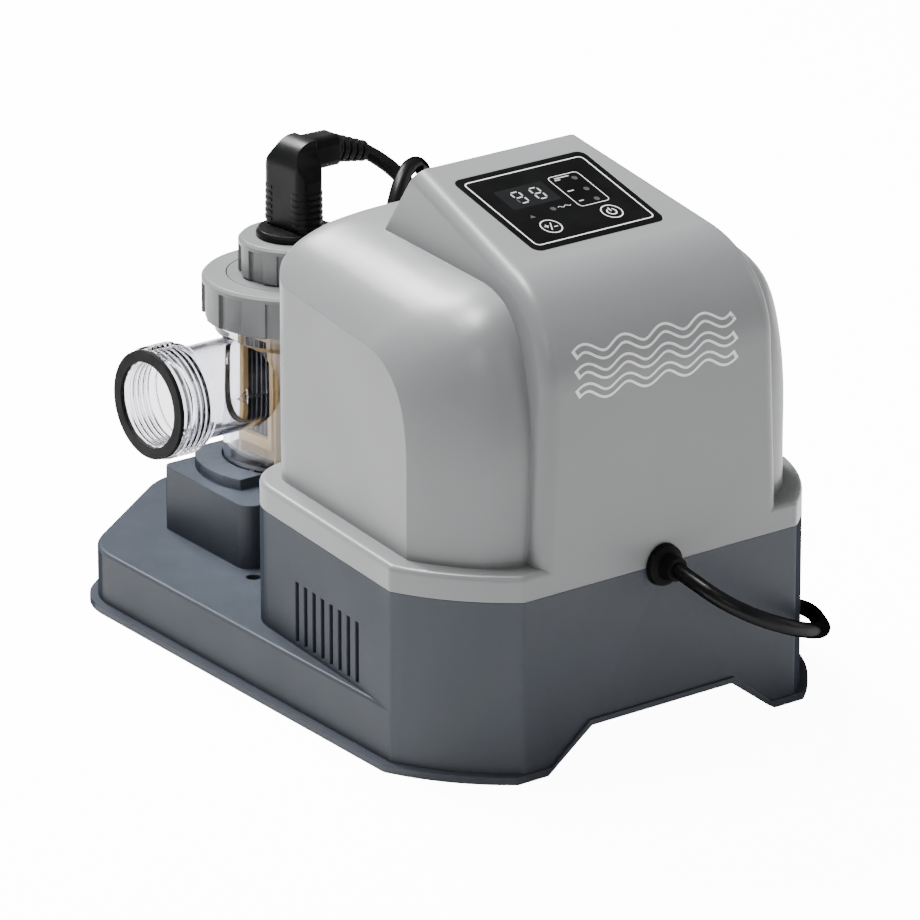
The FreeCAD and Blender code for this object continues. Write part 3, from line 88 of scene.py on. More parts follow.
# ---------------------------------------------------------------------------------------------------------
# Materials
# ---------------------------------------------------------------------------------------------------------
class Surface:
    """A node material on a Principled shader, built up by the small steps below."""

    def __init__(self, name, colour, rough, metallic=0.0, specular=0.5):
        self.material = bpy.data.materials.new(name)
        self.material.use_nodes = True
        self.tree = self.material.node_tree
        self.shader = self.tree.nodes["Principled BSDF"]
        self.output = self.tree.nodes["Material Output"]
        self.where = self.tree.nodes.new("ShaderNodeTexCoord").outputs["Object"]
        self.shader.inputs["Metallic"].default_value = metallic
        self.shader.inputs["Specular IOR Level"].default_value = specular
        self.shader.inputs["Base Color"].default_value = (*colour, 1)
        self.shader.inputs["Roughness"].default_value = rough
        self.material.diffuse_color = (*colour, 1)
        self.colour = colour
        self.rough = rough
        self.paint = None
        self.normal = None

    def node(self, kind, **settings):
        node = self.tree.nodes.new(kind)
        for name, value in settings.items():
            setattr(node, name, value)
        return node

    def join(self, source, target):
        self.tree.links.new(source, target)

    def noise(self, size, detail=2.0):
        """Noise whose features are about this many metres across."""
        noise = self.node("ShaderNodeTexNoise")
        noise.inputs["Scale"].default_value = 0.5 / size
        noise.inputs["Detail"].default_value = detail
        self.join(self.where, noise.inputs["Vector"])
        return noise.outputs["Fac"]

    def spread(self, source, low, high, start=0.3, end=0.7):
        """Maps a factor between two values."""
        ramp = self.node("ShaderNodeMapRange")
        ramp.inputs["From Min"].default_value = start
        ramp.inputs["From Max"].default_value = end
        ramp.inputs["To Min"].default_value = low
        ramp.inputs["To Max"].default_value = high
        self.join(source, ramp.inputs["Value"])
        return ramp.outputs["Result"]

    def blend(self, factor, first, second):
        """Mixes two colours, each a socket or a tuple."""
        mix = self.node("ShaderNodeMix", data_type="RGBA")
        if isinstance(factor, float):
            mix.inputs["Factor"].default_value = factor
        else:
            self.join(factor, mix.inputs["Factor"])
        for slot, value in (("A", first), ("B", second)):
            target = [item for item in mix.inputs if item.name == slot and item.type == "RGBA"][0]
            if isinstance(value, tuple):
                target.default_value = (*value[:3], 1)
            else:
                self.join(value, target)
        return [item for item in mix.outputs if item.type == "RGBA"][0]

    def mottle(self, amount, size=0.03):
        """Uneven colour, a little lighter and darker in patches."""
        dark = tuple(c * (1 - amount) for c in self.colour)
        light = tuple(min(1.0, c * (1 + amount)) for c in self.colour)
        factor = self.spread(self.noise(size, 4.0), 0.0, 1.0)
        self.paint = self.blend(factor, dark, light)
        self.join(self.paint, self.shader.inputs["Base Color"])
        return self

    def worn(self, amount, tone=1.35):
        """Lighter rubbed edges."""
        edge = self.node("ShaderNodeNewGeometry").outputs["Pointiness"]
        factor = self.spread(edge, 0.0, amount, 0.52, 0.62)
        light = tuple(min(1.0, c * tone + 0.02) for c in self.colour)
        self.paint = self.blend(factor, self.paint or self.colour, light)
        self.join(self.paint, self.shader.inputs["Base Color"])
        return self

    def dusty(self, amount, tone=(0.55, 0.54, 0.52)):
        """A trace of dust on what faces up."""
        facing = self.node("ShaderNodeSeparateXYZ")
        self.join(self.node("ShaderNodeNewGeometry").outputs["Normal"], facing.inputs["Vector"])
        lying = self.spread(facing.outputs["Z"], 0.0, amount, 0.6, 1.0)
        patch = self.spread(self.noise(0.012, 5.0), 0.3, 1.0)
        both = self.node("ShaderNodeMath", operation="MULTIPLY")
        self.join(lying, both.inputs[0])
        self.join(patch, both.inputs[1])
        self.paint = self.blend(both.outputs["Value"], self.paint or self.colour, tone)
        self.join(self.paint, self.shader.inputs["Base Color"])
        return self

    def uneven_gloss(self, amount, size=0.02):
        gloss = self.spread(self.noise(size, 3.0), self.rough - amount, self.rough + amount)
        self.join(gloss, self.shader.inputs["Roughness"])
        return self

    def duller_aslant(self, specular):
        """Takes the shine away where the surface is seen at a slant."""
        slant = self.node("ShaderNodeLayerWeight")
        slant.inputs["Blend"].default_value = 0.5
        level = self.spread(slant.outputs["Facing"], specular, 0.0, 0.25, 0.7)
        self.join(level, self.shader.inputs["Specular IOR Level"])
        return self

    def rounded(self, radius):
        """Shades sharp edges as if they had this radius."""
        bevel = self.node("ShaderNodeBevel", samples=6)
        bevel.inputs["Radius"].default_value = radius
        self.normal = bevel.outputs["Normal"]
        self.join(self.normal, self.shader.inputs["Normal"])
        return self

    def bump(self, height, depth, strength=1.0):
        """Relief from a factor, this many metres deep, on top of what is there."""
        bump = self.node("ShaderNodeBump")
        bump.inputs["Distance"].default_value = depth
        bump.inputs["Strength"].default_value = strength
        self.join(height, bump.inputs["Height"])
        if self.normal:
            self.join(self.normal, bump.inputs["Normal"])
        self.normal = bump.outputs["Normal"]
        self.join(self.normal, self.shader.inputs["Normal"])
        return self

    def grain(self, size, depth, strength=0.6):
        return self.bump(self.noise(size, 2.0), depth, strength)

    def ripple(self, axis, pitch, depth, strength=0.5):
        """Fine parallel lines across one axis, such as tool marks or laminations."""
        wave = self.node("ShaderNodeTexWave", wave_type="BANDS", bands_direction=axis)
        wave.inputs["Scale"].default_value = math.pi / (10.0 * pitch)
        wave.inputs["Distortion"].default_value = 0.3
        self.join(self.where, wave.inputs["Vector"])
        return self.bump(wave.outputs["Fac"], depth, strength)

    def clear(self, density=1.0, index=1.49):
        """Clear plastic that still lets light reach what is inside it."""
        self.shader.inputs["Transmission Weight"].default_value = density
        self.shader.inputs["IOR"].default_value = index
        see_through = self.node("ShaderNodeBsdfTransparent")
        see_through.inputs["Color"].default_value = (0.93, 0.94, 0.94, 1)
        shadow = self.node("ShaderNodeLightPath").outputs["Is Shadow Ray"]
        mix = self.node("ShaderNodeMixShader")
        self.join(shadow, mix.inputs["Fac"])
        self.join(self.shader.outputs["BSDF"], mix.inputs[1])
        self.join(see_through.outputs["BSDF"], mix.inputs[2])
        self.join(mix.outputs["Shader"], self.output.inputs["Surface"])
        return self


def cover_grey():
    surface = Surface("cover_grey", (0.215, 0.219, 0.223), 0.34)
    surface.mottle(0.025, 0.05).worn(0.25, 1.15).uneven_gloss(0.05, 0.03)
    return surface.rounded(0.0009).grain(0.0007, 0.00007, 0.35)


def base_slate():
    surface = Surface("base_slate", (0.036, 0.042, 0.0535), 0.44)
    surface.mottle(0.05, 0.04).worn(0.3, 1.5).dusty(0.02).uneven_gloss(0.05, 0.03).duller_aslant(0.35)
    return surface.rounded(0.0009).grain(0.0007, 0.00008, 0.4)


def nut_grey():
    surface = Surface("nut_grey", (0.165, 0.168, 0.171), 0.38)
    surface.mottle(0.04, 0.02).worn(0.35, 1.4).uneven_gloss(0.05, 0.02)
    return surface.rounded(0.0007).grain(0.0006, 0.00006, 0.35)


def cell_clear():
    surface = Surface("cell_clear", (0.79, 0.79, 0.84), 0.035)
    surface.uneven_gloss(0.02, 0.02)
    surface.rounded(0.0005).bump(surface.noise(0.02, 1.0), 0.0003, 0.12)
    return surface.clear()


def panel_film():
    surface = Surface("panel_film", (0.0015, 0.0015, 0.0016), 0.42, specular=0.06)
    surface.mottle(0.2, 0.01).uneven_gloss(0.05, 0.01)
    return surface.grain(0.0004, 0.00003, 0.3)


def window_dark():
    surface = Surface("window_dark", (0.008, 0.0083, 0.0092), 0.24, specular=0.15)
    surface.mottle(0.15, 0.006).uneven_gloss(0.03, 0.01)
    return surface.bump(surface.noise(0.004, 1.0), 0.00003, 0.15)


def key_film():
    surface = Surface("key_film", (0.0018, 0.0018, 0.002), 0.42, specular=0.07)
    surface.mottle(0.2, 0.006).uneven_gloss(0.05, 0.004)
    return surface.rounded(0.0003).grain(0.0004, 0.00003, 0.4)


def print_white():
    surface = Surface("print_white", (0.82, 0.82, 0.82), 0.4)
    surface.mottle(0.06, 0.002).uneven_gloss(0.06, 0.002)
    return surface.grain(0.0002, 0.00001, 0.3)


def print_grey():
    surface = Surface("print_grey", (0.2, 0.204, 0.208), 0.4)
    surface.mottle(0.06, 0.002).uneven_gloss(0.06, 0.002)
    return surface.grain(0.0002, 0.00001, 0.3)


def print_dim():
    surface = Surface("print_dim", (0.055, 0.056, 0.058), 0.3)
    surface.mottle(0.2, 0.001).uneven_gloss(0.06, 0.002)
    return surface.grain(0.0002, 0.00001, 0.3)


def segment_grey():
    surface = Surface("segment_grey", (0.5, 0.5, 0.5), 0.3)
    surface.mottle(0.08, 0.001).uneven_gloss(0.05, 0.002)
    return surface.grain(0.0002, 0.00001, 0.3)


def board_laminate():
    surface = Surface("board_laminate", (0.012, 0.09, 0.035), 0.3)
    surface.mottle(0.2, 0.004).uneven_gloss(0.08, 0.003)
    return surface.grain(0.0006, 0.00004, 0.5)


def component_black():
    surface = Surface("component_black", (0.012, 0.012, 0.013), 0.38)
    surface.mottle(0.25, 0.004).worn(0.3, 2.0).uneven_gloss(0.08, 0.004)
    return surface.rounded(0.0004).grain(0.0004, 0.00003, 0.5)


def lamp_lens():
    surface = Surface("lamp_lens", (0.62, 0.63, 0.6), 0.25)
    surface.mottle(0.05, 0.002).uneven_gloss(0.08, 0.002)
    return surface.grain(0.0004, 0.00002, 0.3)


def screw_steel():
    surface = Surface("screw_steel", (0.52, 0.52, 0.5), 0.32, metallic=1.0)
    surface.mottle(0.12, 0.002).worn(0.4, 1.2).uneven_gloss(0.1, 0.002)
    return surface.rounded(0.0002).ripple("Z", 0.0006, 0.00004, 0.4)


def core_steel():
    surface = Surface("core_steel", (0.07, 0.07, 0.072), 0.5, metallic=0.7)
    surface.mottle(0.2, 0.004).worn(0.4, 1.8).uneven_gloss(0.08, 0.004)
    return surface.rounded(0.0004).ripple("Y", 0.0005, 0.00015, 0.8)


def winding_tape():
    surface = Surface("winding_tape", (0.55, 0.33, 0.06), 0.28)
    surface.mottle(0.12, 0.006).uneven_gloss(0.08, 0.006)
    return surface.rounded(0.0006).ripple("Y", 0.004, 0.0002, 0.6)


def sink_aluminium():
    surface = Surface("sink_aluminium", (0.62, 0.63, 0.64), 0.38, metallic=1.0)
    surface.mottle(0.06, 0.006).worn(0.3, 1.15).uneven_gloss(0.08, 0.006)
    return surface.rounded(0.0003).ripple("Z", 0.0008, 0.00003, 0.5)


def spacer_nylon():
    surface = Surface("spacer_nylon", (0.66, 0.64, 0.58), 0.45)
    surface.mottle(0.05, 0.003).worn(0.2, 1.1).uneven_gloss(0.06, 0.003)
    return surface.rounded(0.0003).grain(0.0005, 0.00004, 0.4)


def frame_cream():
    surface = Surface("frame_cream", (0.68, 0.47, 0.19), 0.42)
    surface.mottle(0.05, 0.01).worn(0.3, 1.15).uneven_gloss(0.06, 0.008)
    return surface.rounded(0.0005).grain(0.0006, 0.00006, 0.4)


def plate_titanium():
    """Coated expanded metal: a fine regular lattice of dimples."""
    surface = Surface("plate_titanium", (0.06, 0.06, 0.065), 0.42, metallic=0.8)
    surface.mottle(0.2, 0.006).uneven_gloss(0.1, 0.004)
    cells = surface.node("ShaderNodeTexVoronoi", feature="DISTANCE_TO_EDGE")
    cells.inputs["Scale"].default_value = 450.0
    cells.inputs["Randomness"].default_value = 0.15
    surface.join(surface.where, cells.inputs["Vector"])
    return surface.bump(cells.outputs["Distance"], 0.0004, 0.7)


def seal_rubber():
    surface = Surface("seal_rubber", (0.0022, 0.0022, 0.0024), 0.55, specular=0.1)
    surface.mottle(0.25, 0.006).worn(0.25, 2.2).uneven_gloss(0.08, 0.005)
    return surface.rounded(0.0006).grain(0.0006, 0.00005, 0.5)


def plug_black():
    surface = Surface("plug_black", (0.0025, 0.0025, 0.0028), 0.36, specular=0.1)
    surface.mottle(0.25, 0.008).worn(0.25, 2.4).dusty(0.006).uneven_gloss(0.07, 0.006)
    return surface.rounded(0.0007).grain(0.0006, 0.00005, 0.45)


def cord_black():
    """A soft sheath with a fine grain and slight waviness."""
    surface = Surface("cord_black", (0.004, 0.004, 0.0044), 0.34)
    surface.mottle(0.25, 0.01).uneven_gloss(0.09, 0.008).duller_aslant(0.2)
    surface.grain(0.006, 0.0004, 0.25)
    return surface.grain(0.0007, 0.00004, 0.4)


def pin_brass():
    surface = Surface("pin_brass", (0.62, 0.55, 0.36), 0.22, metallic=1.0)
    surface.mottle(0.08, 0.002).worn(0.3, 1.2).uneven_gloss(0.08, 0.002)
    return surface.rounded(0.0003).ripple("Y", 0.0006, 0.00002, 0.4)


MAKERS = (
    cover_grey, base_slate, nut_grey, cell_clear,
    panel_film, window_dark, key_film,
    print_white, print_grey, print_dim, segment_grey,
    board_laminate, component_black, lamp_lens,
    screw_steel, core_steel, winding_tape, sink_aluminium, spacer_nylon,
    frame_cream, plate_titanium, seal_rubber,
    plug_black, cord_black, pin_brass,
)
MATERIALS = {maker.__name__: maker().material for maker in MAKERS}


def dress_cad_nodes():
    """Gives every carried CAD node the detailed material of its slot."""
    for part in frame["record"]["subparts"]:
        node = NODES[part["node"]]
        for slot in node.material_slots:
            slot.material = MATERIALS[part["material_slot"]]


dress_cad_nodes()


# ---------------------------------------------------------------------------------------------------------
# Pieces
# ---------------------------------------------------------------------------------------------------------
def finish_piece(piece, material, body=HOUSING):
    """Paints a piece, and makes it ride on its body."""
    piece.data.materials.clear()
    piece.data.materials.append(MATERIALS[material])
    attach(piece, body)
    return piece


def mesh_piece(name, form):
    """An object from a bmesh."""
    bmesh.ops.recalc_face_normals(form, faces=form.faces)
    mesh = bpy.data.meshes.new(name)
    form.to_mesh(mesh)
    form.free()
    piece = bpy.data.objects.new(name, mesh)
    bpy.context.scene.collection.objects.link(piece)
    return piece


# ---------------------------------------------------------------------------------------------------------
# Cords
# ---------------------------------------------------------------------------------------------------------
CORD_WIDE = 0.008

CELL_LEAD = [
    (0.047, 0.295, 0.228),
    (0.057, 0.291, 0.2215),
    (0.065, 0.279, 0.2085),
    (0.069, 0.262, 0.197),
    (0.065, 0.246, 0.187),
    (0.055, 0.233, 0.1785),
    (0.039, 0.226, 0.1725),
    (0.0224, 0.221, 0.171),
    (0.012, 0.218, 0.1755),
    (0.004, 0.2155, 0.184),
    (-0.001, 0.214, 0.195),
    (-0.001, 0.214, 0.2185),
    (0.0145, 0.2235, 0.2395),
    (0.0355, 0.2365, 0.2395),
    (0.0505, 0.2465, 0.222),
    (0.052, 0.248, 0.206),
    (0.051, 0.248, 0.19),
    (0.048, 0.2465, 0.1745),
    (0.0445, 0.2415, 0.163),
    (0.0415, 0.233, 0.1545),
    (0.04, 0.222, 0.15),
    (0.04, 0.212, 0.15),
]

MAINS_LEAD = [
    (0.0, -0.012, 0.094),
    (0.0, -0.025, 0.091),
    (0.0045, -0.041, 0.0845),
    (0.016, -0.053, 0.077),
    (0.033, -0.058, 0.0695),
    (0.051, -0.054, 0.062),
    (0.068, -0.0425, 0.055),
    (0.082, -0.0285, 0.049),
    (0.0955, -0.012, 0.043),
    (0.109, 0.006, 0.0375),
    (0.123, 0.025, 0.032),
    (0.136, 0.049, 0.0255),
    (0.144, 0.08, 0.017),
    (0.148, 0.118, 0.0075),
    (0.1475, 0.158, 0.004),
    (0.1455, 0.2, 0.004),
    (0.143, 0.24, 0.004),
    (0.139, 0.278, 0.004),
    (0.131, 0.313, 0.004),
    (0.119, 0.3467, 0.004),
]
COIL_CENTRE = (0.143, 0.399)
COIL_RADIUS = 0.046
COIL_START = math.radians(225)
COIL_TURNED = 2025
COIL_STEP = 18
TAIL = [
    (0.197, 0.385, 0.012),
    (0.197, 0.368, 0.016),
    (0.197, 0.354, 0.018),
]


def eased(value, knots):
    """A value that rests at each (from, to, height) span and turns smoothly between them."""
    for (_, end, low), (start, _, high) in zip(knots, knots[1:]):
        if value <= end:
            return low
        if value < start:
            t = (value - end) / (start - end)
            return low + (high - low) * t * t * (3 - 2 * t)
    return knots[-1][2]


def coil_points():
    """The wound length: turns side by side on the floor, inwards, then back out on top of them."""
    mean = COIL_RADIUS
    wide = CORD_WIDE
    radius_knots = [
        (0, 280, mean + wide),
        (360, 640, mean),
        (720, 1280, mean - wide),
        (1360, 1640, mean),
        (1720, COIL_TURNED, mean + wide),
    ]
    height_knots = [(0, 920, wide / 2), (1000, COIL_TURNED, 1.5 * wide)]
    points = []
    for turned in range(0, COIL_TURNED, COIL_STEP):
        angle = COIL_START - math.radians(turned)
        radius = eased(turned, radius_knots)
        x = COIL_CENTRE[0] + radius * math.cos(angle)
        back = COIL_CENTRE[1] + radius * math.sin(angle)
        points.append((x, back, eased(turned, height_knots)))
    return points


def cord_curve(name, route):
    """One open NURBS spline whose control points are the route."""
    curve = bpy.data.curves.new(name, "CURVE")
    curve.dimensions = "3D"
    curve.bevel_depth = CORD_WIDE / 2
    curve.bevel_resolution = 6
    curve.resolution_u = 8
    curve.use_fill_caps = True
    spline = curve.splines.new("NURBS")
    spline.points.add(len(route) - 1)
    for point, (x, back, z) in zip(spline.points, route):
        point.co = (*place(x, back, z), 1)
    spline.order_u = 3
    spline.use_endpoint_u = True
    piece = bpy.data.objects.new(name, curve)
    bpy.context.scene.collection.objects.link(piece)
    return finish_piece(piece, "cord_black")


def add_cords():
    cell = cord_curve("cell_cable", CELL_LEAD)
    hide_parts("cell_lead")
    mains = cord_curve("mains_cable", MAINS_LEAD + coil_points() + TAIL)
    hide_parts("mains_lead", "mains_coil", "mains_tail")


add_cords()


# ---------------------------------------------------------------------------------------------------------
# Printed marks
# ---------------------------------------------------------------------------------------------------------
PANEL_ORIGIN = place(0.0, 0.05218, 0.25358)
PANEL_SLOPE = math.radians(16.92)
PANEL_UP = Vector((0, math.cos(PANEL_SLOPE), math.sin(PANEL_SLOPE)))
PANEL_OUT = Vector((0, -math.sin(PANEL_SLOPE), math.cos(PANEL_SLOPE)))
FILM_PROUD = 0.0002
BROW_RADIUS = 0.055
BROW_CENTRE_Z = 0.1969
PIPE_RADIUS = 0.0247
INK = 0.00006


def on_panel(across, up, out):
    return PANEL_ORIGIN + Vector((across, 0, 0)) + PANEL_UP * up + PANEL_OUT * (FILM_PROUD + out)


def on_front(across, z, out):
    """On the cover's front face, which rolls back over the brow."""
    rise = max(0.0, z - BROW_CENTRE_Z)
    angle = rise / BROW_RADIUS
    radius = BROW_RADIUS + out
    if angle == 0.0:
        return place(across, -out, z)
    return place(across, BROW_RADIUS - radius * math.cos(angle), BROW_CENTRE_Z + radius * math.sin(angle))


def on_port(along, around, out):
    """On the outlet port's pipe, measured round it from its top towards the front."""
    radius = PIPE_RADIUS + out
    angle = around / PIPE_RADIUS
    return place(along, CELL_BACK - radius * math.sin(angle), PORT_Z + radius * math.cos(angle))


def stroke(form, path, wide, where, closed=False, proud=INK):
    """Adds a flat printed line along a path of (across, up) points."""
    count = len(path)
    rows = []
    for index, (x, y) in enumerate(path):
        before = path[index - 1] if index or closed else None
        after = path[(index + 1) % count] if index + 1 < count or closed else None
        here = Vector((x, y))
        into = (here - Vector(before)).normalized() if before else None
        away = (Vector(after) - here).normalized() if after else None
        along = ((into or away) + (away or into)).normalized()
        side = Vector((-along.y, along.x))
        lean = side.dot(Vector((-(into or away).y, (into or away).x)))
        reach = wide / 2 / max(0.4, lean)
        row = []
        for sign, out in ((-1, 0.0), (-1, proud), (1, proud), (1, 0.0)):
            spot = here + side * (sign * reach)
            row.append(form.verts.new(where(spot.x, spot.y, out)))
        rows.append(row)
    pairs = list(zip(rows, rows[1:]))
    if closed:
        pairs.append((rows[-1], rows[0]))
    for first, second in pairs:
        for a, b in ((0, 1), (1, 2), (2, 3), (3, 0)):
            form.faces.new((first[a], first[b], second[b], second[a]))
    if not closed:
        form.faces.new(rows[0])
        form.faces.new(rows[-1])


def patch(form, path, where, proud=INK):
    """Adds a flat printed area inside a path."""
    top = [form.verts.new(where(x, y, proud)) for x, y in path]
    low = [form.verts.new(where(x, y, 0.0)) for x, y in path]
    form.faces.new(top)
    form.faces.new(low)
    for index in range(len(path)):
        after = (index + 1) % len(path)
        form.faces.new((top[index], top[after], low[after], low[index]))


def arc_path(x, y, radius, start, end, steps):
    angles = [math.radians(start + (end - start) * i / steps) for i in range(steps + 1)]
    return [(x + radius * math.cos(a), y + radius * math.sin(a)) for a in angles]


def rounded_box(left, low, right, high, radius):
    """A rectangle with round corners, anticlockwise."""
    path = []
    corners = ((right, high, 0), (left, high, 90), (left, low, 180), (right, low, 270))
    for x, y, start in corners:
        centre_x = x - radius if x == right else x + radius
        centre_y = y - radius if y == high else y + radius
        path += arc_path(centre_x, centre_y, radius, start, start + 90, 6)
    return path


def marks(name, material, draw, body=HOUSING):
    """One printed piece from a function that draws into a bmesh."""
    form = bmesh.new()
    draw(form)
    return finish_piece(mesh_piece(name, form), material, body)


FRAME_LINE = 0.0007
THIN_LINE = 0.0004
DASH_LINE = 0.0008
BOOST_LINE = 0.0005
KEY_RING_LINE = 0.0006
LEVEL_LAMPS = [(0.0214, 0.0445), (0.0207, 0.034), (0.02, 0.0246)]
FLOW_LAMP = (-0.008, 0.0248)
KEY_X = 0.0195
KEY_UP = 0.0119
KEY_RADIUS = 0.0062


def draw_outlines(form):
    stroke(form, rounded_box(-0.0379, 0.0, 0.0379, 0.0601, 0.0028), FRAME_LINE, on_panel, closed=True)
    stroke(form, rounded_box(0.007, 0.0212, 0.0262, 0.0492, 0.0024), THIN_LINE, on_panel, closed=True)


def draw_legends(form):
    """Short dashes and a wave, in place of words."""
    for length, (_, up) in zip((0.0034, 0.004, 0.0028), LEVEL_LAMPS):
        left = 0.0096
        stroke(form, [(left, up + 0.0012), (left + length, up + 0.0012)], DASH_LINE, on_panel)
    title = [(0.0104, 0.0473), (0.0196, 0.0473)]
    stroke(form, title, DASH_LINE, on_panel)
    wave = []
    for index in range(17):
        wave.append((-0.0048 + 0.0005 * index, 0.0248 + 0.0006 * math.sin(index * math.pi / 4)))
    stroke(form, wave, THIN_LINE, on_panel)


def draw_lamps(form):
    for x, up in LEVEL_LAMPS + [FLOW_LAMP]:
        patch(form, arc_path(x, up, 0.0016, 0, 345, 23), on_panel)
    patch(form, [(-0.0248, 0.0216), (-0.0214, 0.0216), (-0.0231, 0.0242)], on_panel)


SEGMENTS = {
    "top": ((0.0, 1.0), (1.0, 1.0)),
    "upper_right": ((1.0, 1.0), (1.0, 0.5)),
    "lower_right": ((1.0, 0.5), (1.0, 0.0)),
    "bottom": ((0.0, 0.0), (1.0, 0.0)),
    "lower_left": ((0.0, 0.5), (0.0, 0.0)),
    "upper_left": ((0.0, 1.0), (0.0, 0.5)),
    "middle": ((0.0, 0.5), (1.0, 0.5)),
}
DIGIT_WIDE = 0.0052
DIGIT_TALL = 0.0098
DIGIT_LOW = 0.0346
FIRST_DIGIT = -0.0205
SECOND_DIGIT = -0.0088


def digit(form, left, low, names):
    """Straight seven-segment strokes, each pointed at its ends."""
    gap = 0.0006
    half = 0.00045
    for name in names:
        (x0, y0), (x1, y1) = SEGMENTS[name]
        start = Vector((left + x0 * DIGIT_WIDE, low + y0 * DIGIT_TALL))
        end = Vector((left + x1 * DIGIT_WIDE, low + y1 * DIGIT_TALL))
        along = (end - start).normalized()
        side = Vector((-along.y, along.x)) * half
        start += along * gap
        end -= along * gap
        shape = [start, start + along * half + side, end - along * half + side, end]
        shape += [end - along * half - side, start + along * half - side]
        patch(form, [tuple(point) for point in shape], on_panel, proud=2 * INK)


def draw_lit_segments(form):
    nine = ("top", "upper_right", "lower_right", "upper_left", "middle", "bottom")
    digit(form, FIRST_DIGIT, DIGIT_LOW, nine)
    digit(form, SECOND_DIGIT, DIGIT_LOW, SEGMENTS)


def draw_dim_segments(form):
    digit(form, FIRST_DIGIT, DIGIT_LOW, ("lower_left",))


def draw_key_ring(x):
    def draw(form):
        circle = arc_path(x, KEY_UP, KEY_RADIUS - KEY_RING_LINE, 0, 352.5, 47)
        stroke(form, circle, KEY_RING_LINE, on_panel, closed=True)
    return draw


def draw_power_mark(form):
    stroke(form, arc_path(KEY_X, KEY_UP, 0.0025, 125, 415, 24), FRAME_LINE, on_panel)
    stroke(form, [(KEY_X, KEY_UP + 0.0004), (KEY_X, KEY_UP + 0.0034)], FRAME_LINE, on_panel)


def draw_boost_mark(form):
    """A plus and a minus, with a stroke between them."""
    x = -KEY_X
    stroke(form, [(x - 0.0015, KEY_UP - 0.0028), (x + 0.0015, KEY_UP + 0.0028)], BOOST_LINE, on_panel)
    stroke(form, [(x - 0.0036, KEY_UP + 0.0008), (x - 0.001, KEY_UP + 0.0008)], BOOST_LINE, on_panel)
    stroke(form, [(x - 0.0023, KEY_UP - 0.0005), (x - 0.0023, KEY_UP + 0.0021)], BOOST_LINE, on_panel)
    stroke(form, [(x + 0.0012, KEY_UP - 0.0008), (x + 0.0036, KEY_UP - 0.0008)], BOOST_LINE, on_panel)


WAVE_ROWS = 3
WAVE_LEFT = -0.0555
WAVE_TOP_Z = 0.2135
WAVE_GAP = 0.0098
WAVE_HEIGHT = 0.0026
WAVE_LINE = 0.0052
WAVE_FILL = 0.0026


def wave_path(row):
    """One long wave across the front, the row'th from the top."""
    path = []
    for index in range(65):
        x = WAVE_LEFT + 0.0016 * index
        z = WAVE_TOP_Z - WAVE_GAP * row + WAVE_HEIGHT * math.sin(index * math.pi / 8)
        path.append((x, z))
    return path


def draw_emblem(form):
    """Three plain water waves in outline, a generic mark for pool equipment."""
    for row in range(WAVE_ROWS):
        stroke(form, wave_path(row), WAVE_LINE, on_front)


def draw_emblem_fill(form):
    """The grey inside of the outlined waves, just short of their ends."""
    for row in range(WAVE_ROWS):
        inner = wave_path(row)[1:-1]
        stroke(form, inner, WAVE_FILL, on_front, proud=2 * INK)


ARROW_PROUD = 0.0006
ARROW_STEM_WIDE = 0.0014


def draw_flow_arrow(form):
    """The moulded arrow that points out of the outlet."""
    stem = [(-0.038, 0.0375), (-0.052, 0.0375)]
    head = [(-0.0505, 0.0338), (-0.0505, 0.0412), (-0.0575, 0.0375)]
    stroke(form, stem, ARROW_STEM_WIDE, on_port, proud=ARROW_PROUD)
    patch(form, head, on_port, proud=ARROW_PROUD)


def add_marks():
    marks("panel_outlines", "print_white", draw_outlines)
    marks("panel_legends", "segment_grey", draw_legends)
    marks("panel_lamp_dots", "print_dim", draw_lamps)
    marks("display_lit_segments", "segment_grey", draw_lit_segments)
    marks("display_dim_segments", "print_dim", draw_dim_segments)
    marks("power_key_ring", "print_white", draw_key_ring(KEY_X), "power_button")
    marks("power_key_mark", "print_white", draw_power_mark, "power_button")
    marks("boost_key_ring", "print_white", draw_key_ring(-KEY_X), "boost_button")
    marks("boost_key_mark", "print_white", draw_boost_mark, "boost_button")
    marks("wave_emblem", "print_white", draw_emblem)
    marks("wave_emblem_fill", "print_grey", draw_emblem_fill)
    marks("flow_arrow", "cell_clear", draw_flow_arrow)


add_marks()


# ---------------------------------------------------------------------------------------------------------
# Studio
# ---------------------------------------------------------------------------------------------------------
GLOW_STRAIGHT = 12.0
GLOW_THROUGH_PLASTIC = 1.2
FLOOR_HALF_WIDE = 30.0
LIGHT_AIM = Vector((0, 0, 0.15))
SKY_STRENGTH = 0.2


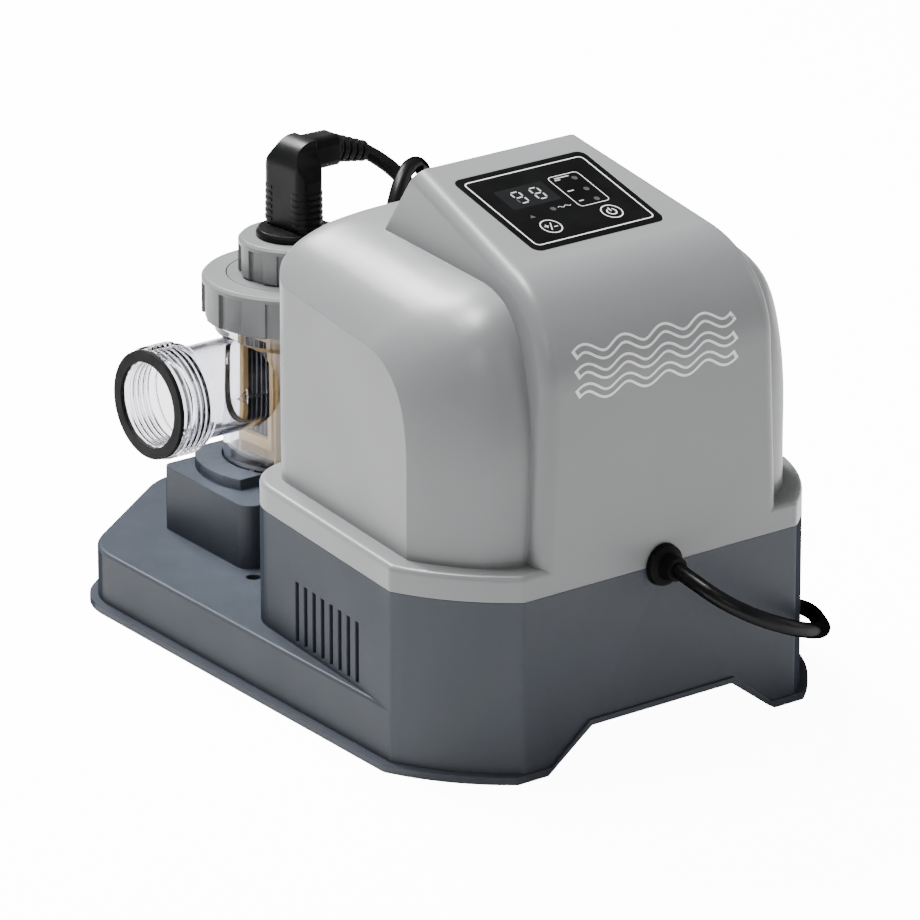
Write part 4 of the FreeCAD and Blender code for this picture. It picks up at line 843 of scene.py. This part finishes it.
def floor_paper():
    """White paper that glows straight and through clear plastic, so that it reads as a blank ground."""
    surface = Surface("floor_paper", (0.9, 0.9, 0.9), 0.7)
    surface.mottle(0.01, 0.4)
    surface.grain(0.004, 0.0002, 0.05)
    rays = surface.node("ShaderNodeLightPath")
    through = surface.node("ShaderNodeMath", operation="MULTIPLY")
    surface.join(rays.outputs["Is Transmission Ray"], through.inputs[0])
    through.inputs[1].default_value = GLOW_THROUGH_PLASTIC
    straight = surface.node("ShaderNodeMath", operation="MULTIPLY_ADD")
    surface.join(rays.outputs["Is Camera Ray"], straight.inputs[0])
    straight.inputs[1].default_value = GLOW_STRAIGHT
    surface.join(through.outputs["Value"], straight.inputs[2])
    glow = surface.node("ShaderNodeEmission")
    surface.join(straight.outputs["Value"], glow.inputs["Strength"])
    both = surface.node("ShaderNodeAddShader")
    surface.join(surface.shader.outputs["BSDF"], both.inputs[0])
    surface.join(glow.outputs["Emission"], both.inputs[1])
    surface.join(both.outputs["Shader"], surface.output.inputs["Surface"])
    return surface


def add_floor():
    form = bmesh.new()
    bmesh.ops.create_grid(form, x_segments=1, y_segments=1, size=FLOOR_HALF_WIDE)
    floor = mesh_piece("floor", form)
    floor.data.materials.append(floor_paper().material)


def add_light(name, direction, distance, size, power):
    """A square soft light that faces the object."""
    data = bpy.data.lights.new(name, "AREA")
    data.shape = "SQUARE"
    data.size = size
    data.energy = power
    light = bpy.data.objects.new(name, data)
    bpy.context.scene.collection.objects.link(light)
    towards = Vector(direction).normalized()
    light.location = LIGHT_AIM + towards * distance
    light.rotation_euler = towards.to_track_quat("Z", "Y").to_euler()


def add_studio():
    add_floor()
    add_light("overhead", (-0.1, 0.2, 1.0), 2.4, 0.9, 115.0)
    add_light("back_rim", (0.1, 0.8, 0.8), 2.4, 0.8, 105.0)
    add_light("left_key", (-0.9, -1.0, 0.8), 2.8, 0.7, 7.0)
    add_light("front_fill", (0.35, -1.0, 0.3), 3.0, 1.6, 8.5)
    add_light("right_fill", (1.0, -0.35, 0.35), 3.0, 1.4, 11.0)
    world = bpy.data.worlds.new("studio")
    world.use_nodes = True
    background = world.node_tree.nodes["Background"]
    background.inputs["Color"].default_value = (1.0, 1.0, 1.0, 1)
    background.inputs["Strength"].default_value = SKY_STRENGTH
    bpy.context.scene.world = world


add_studio()
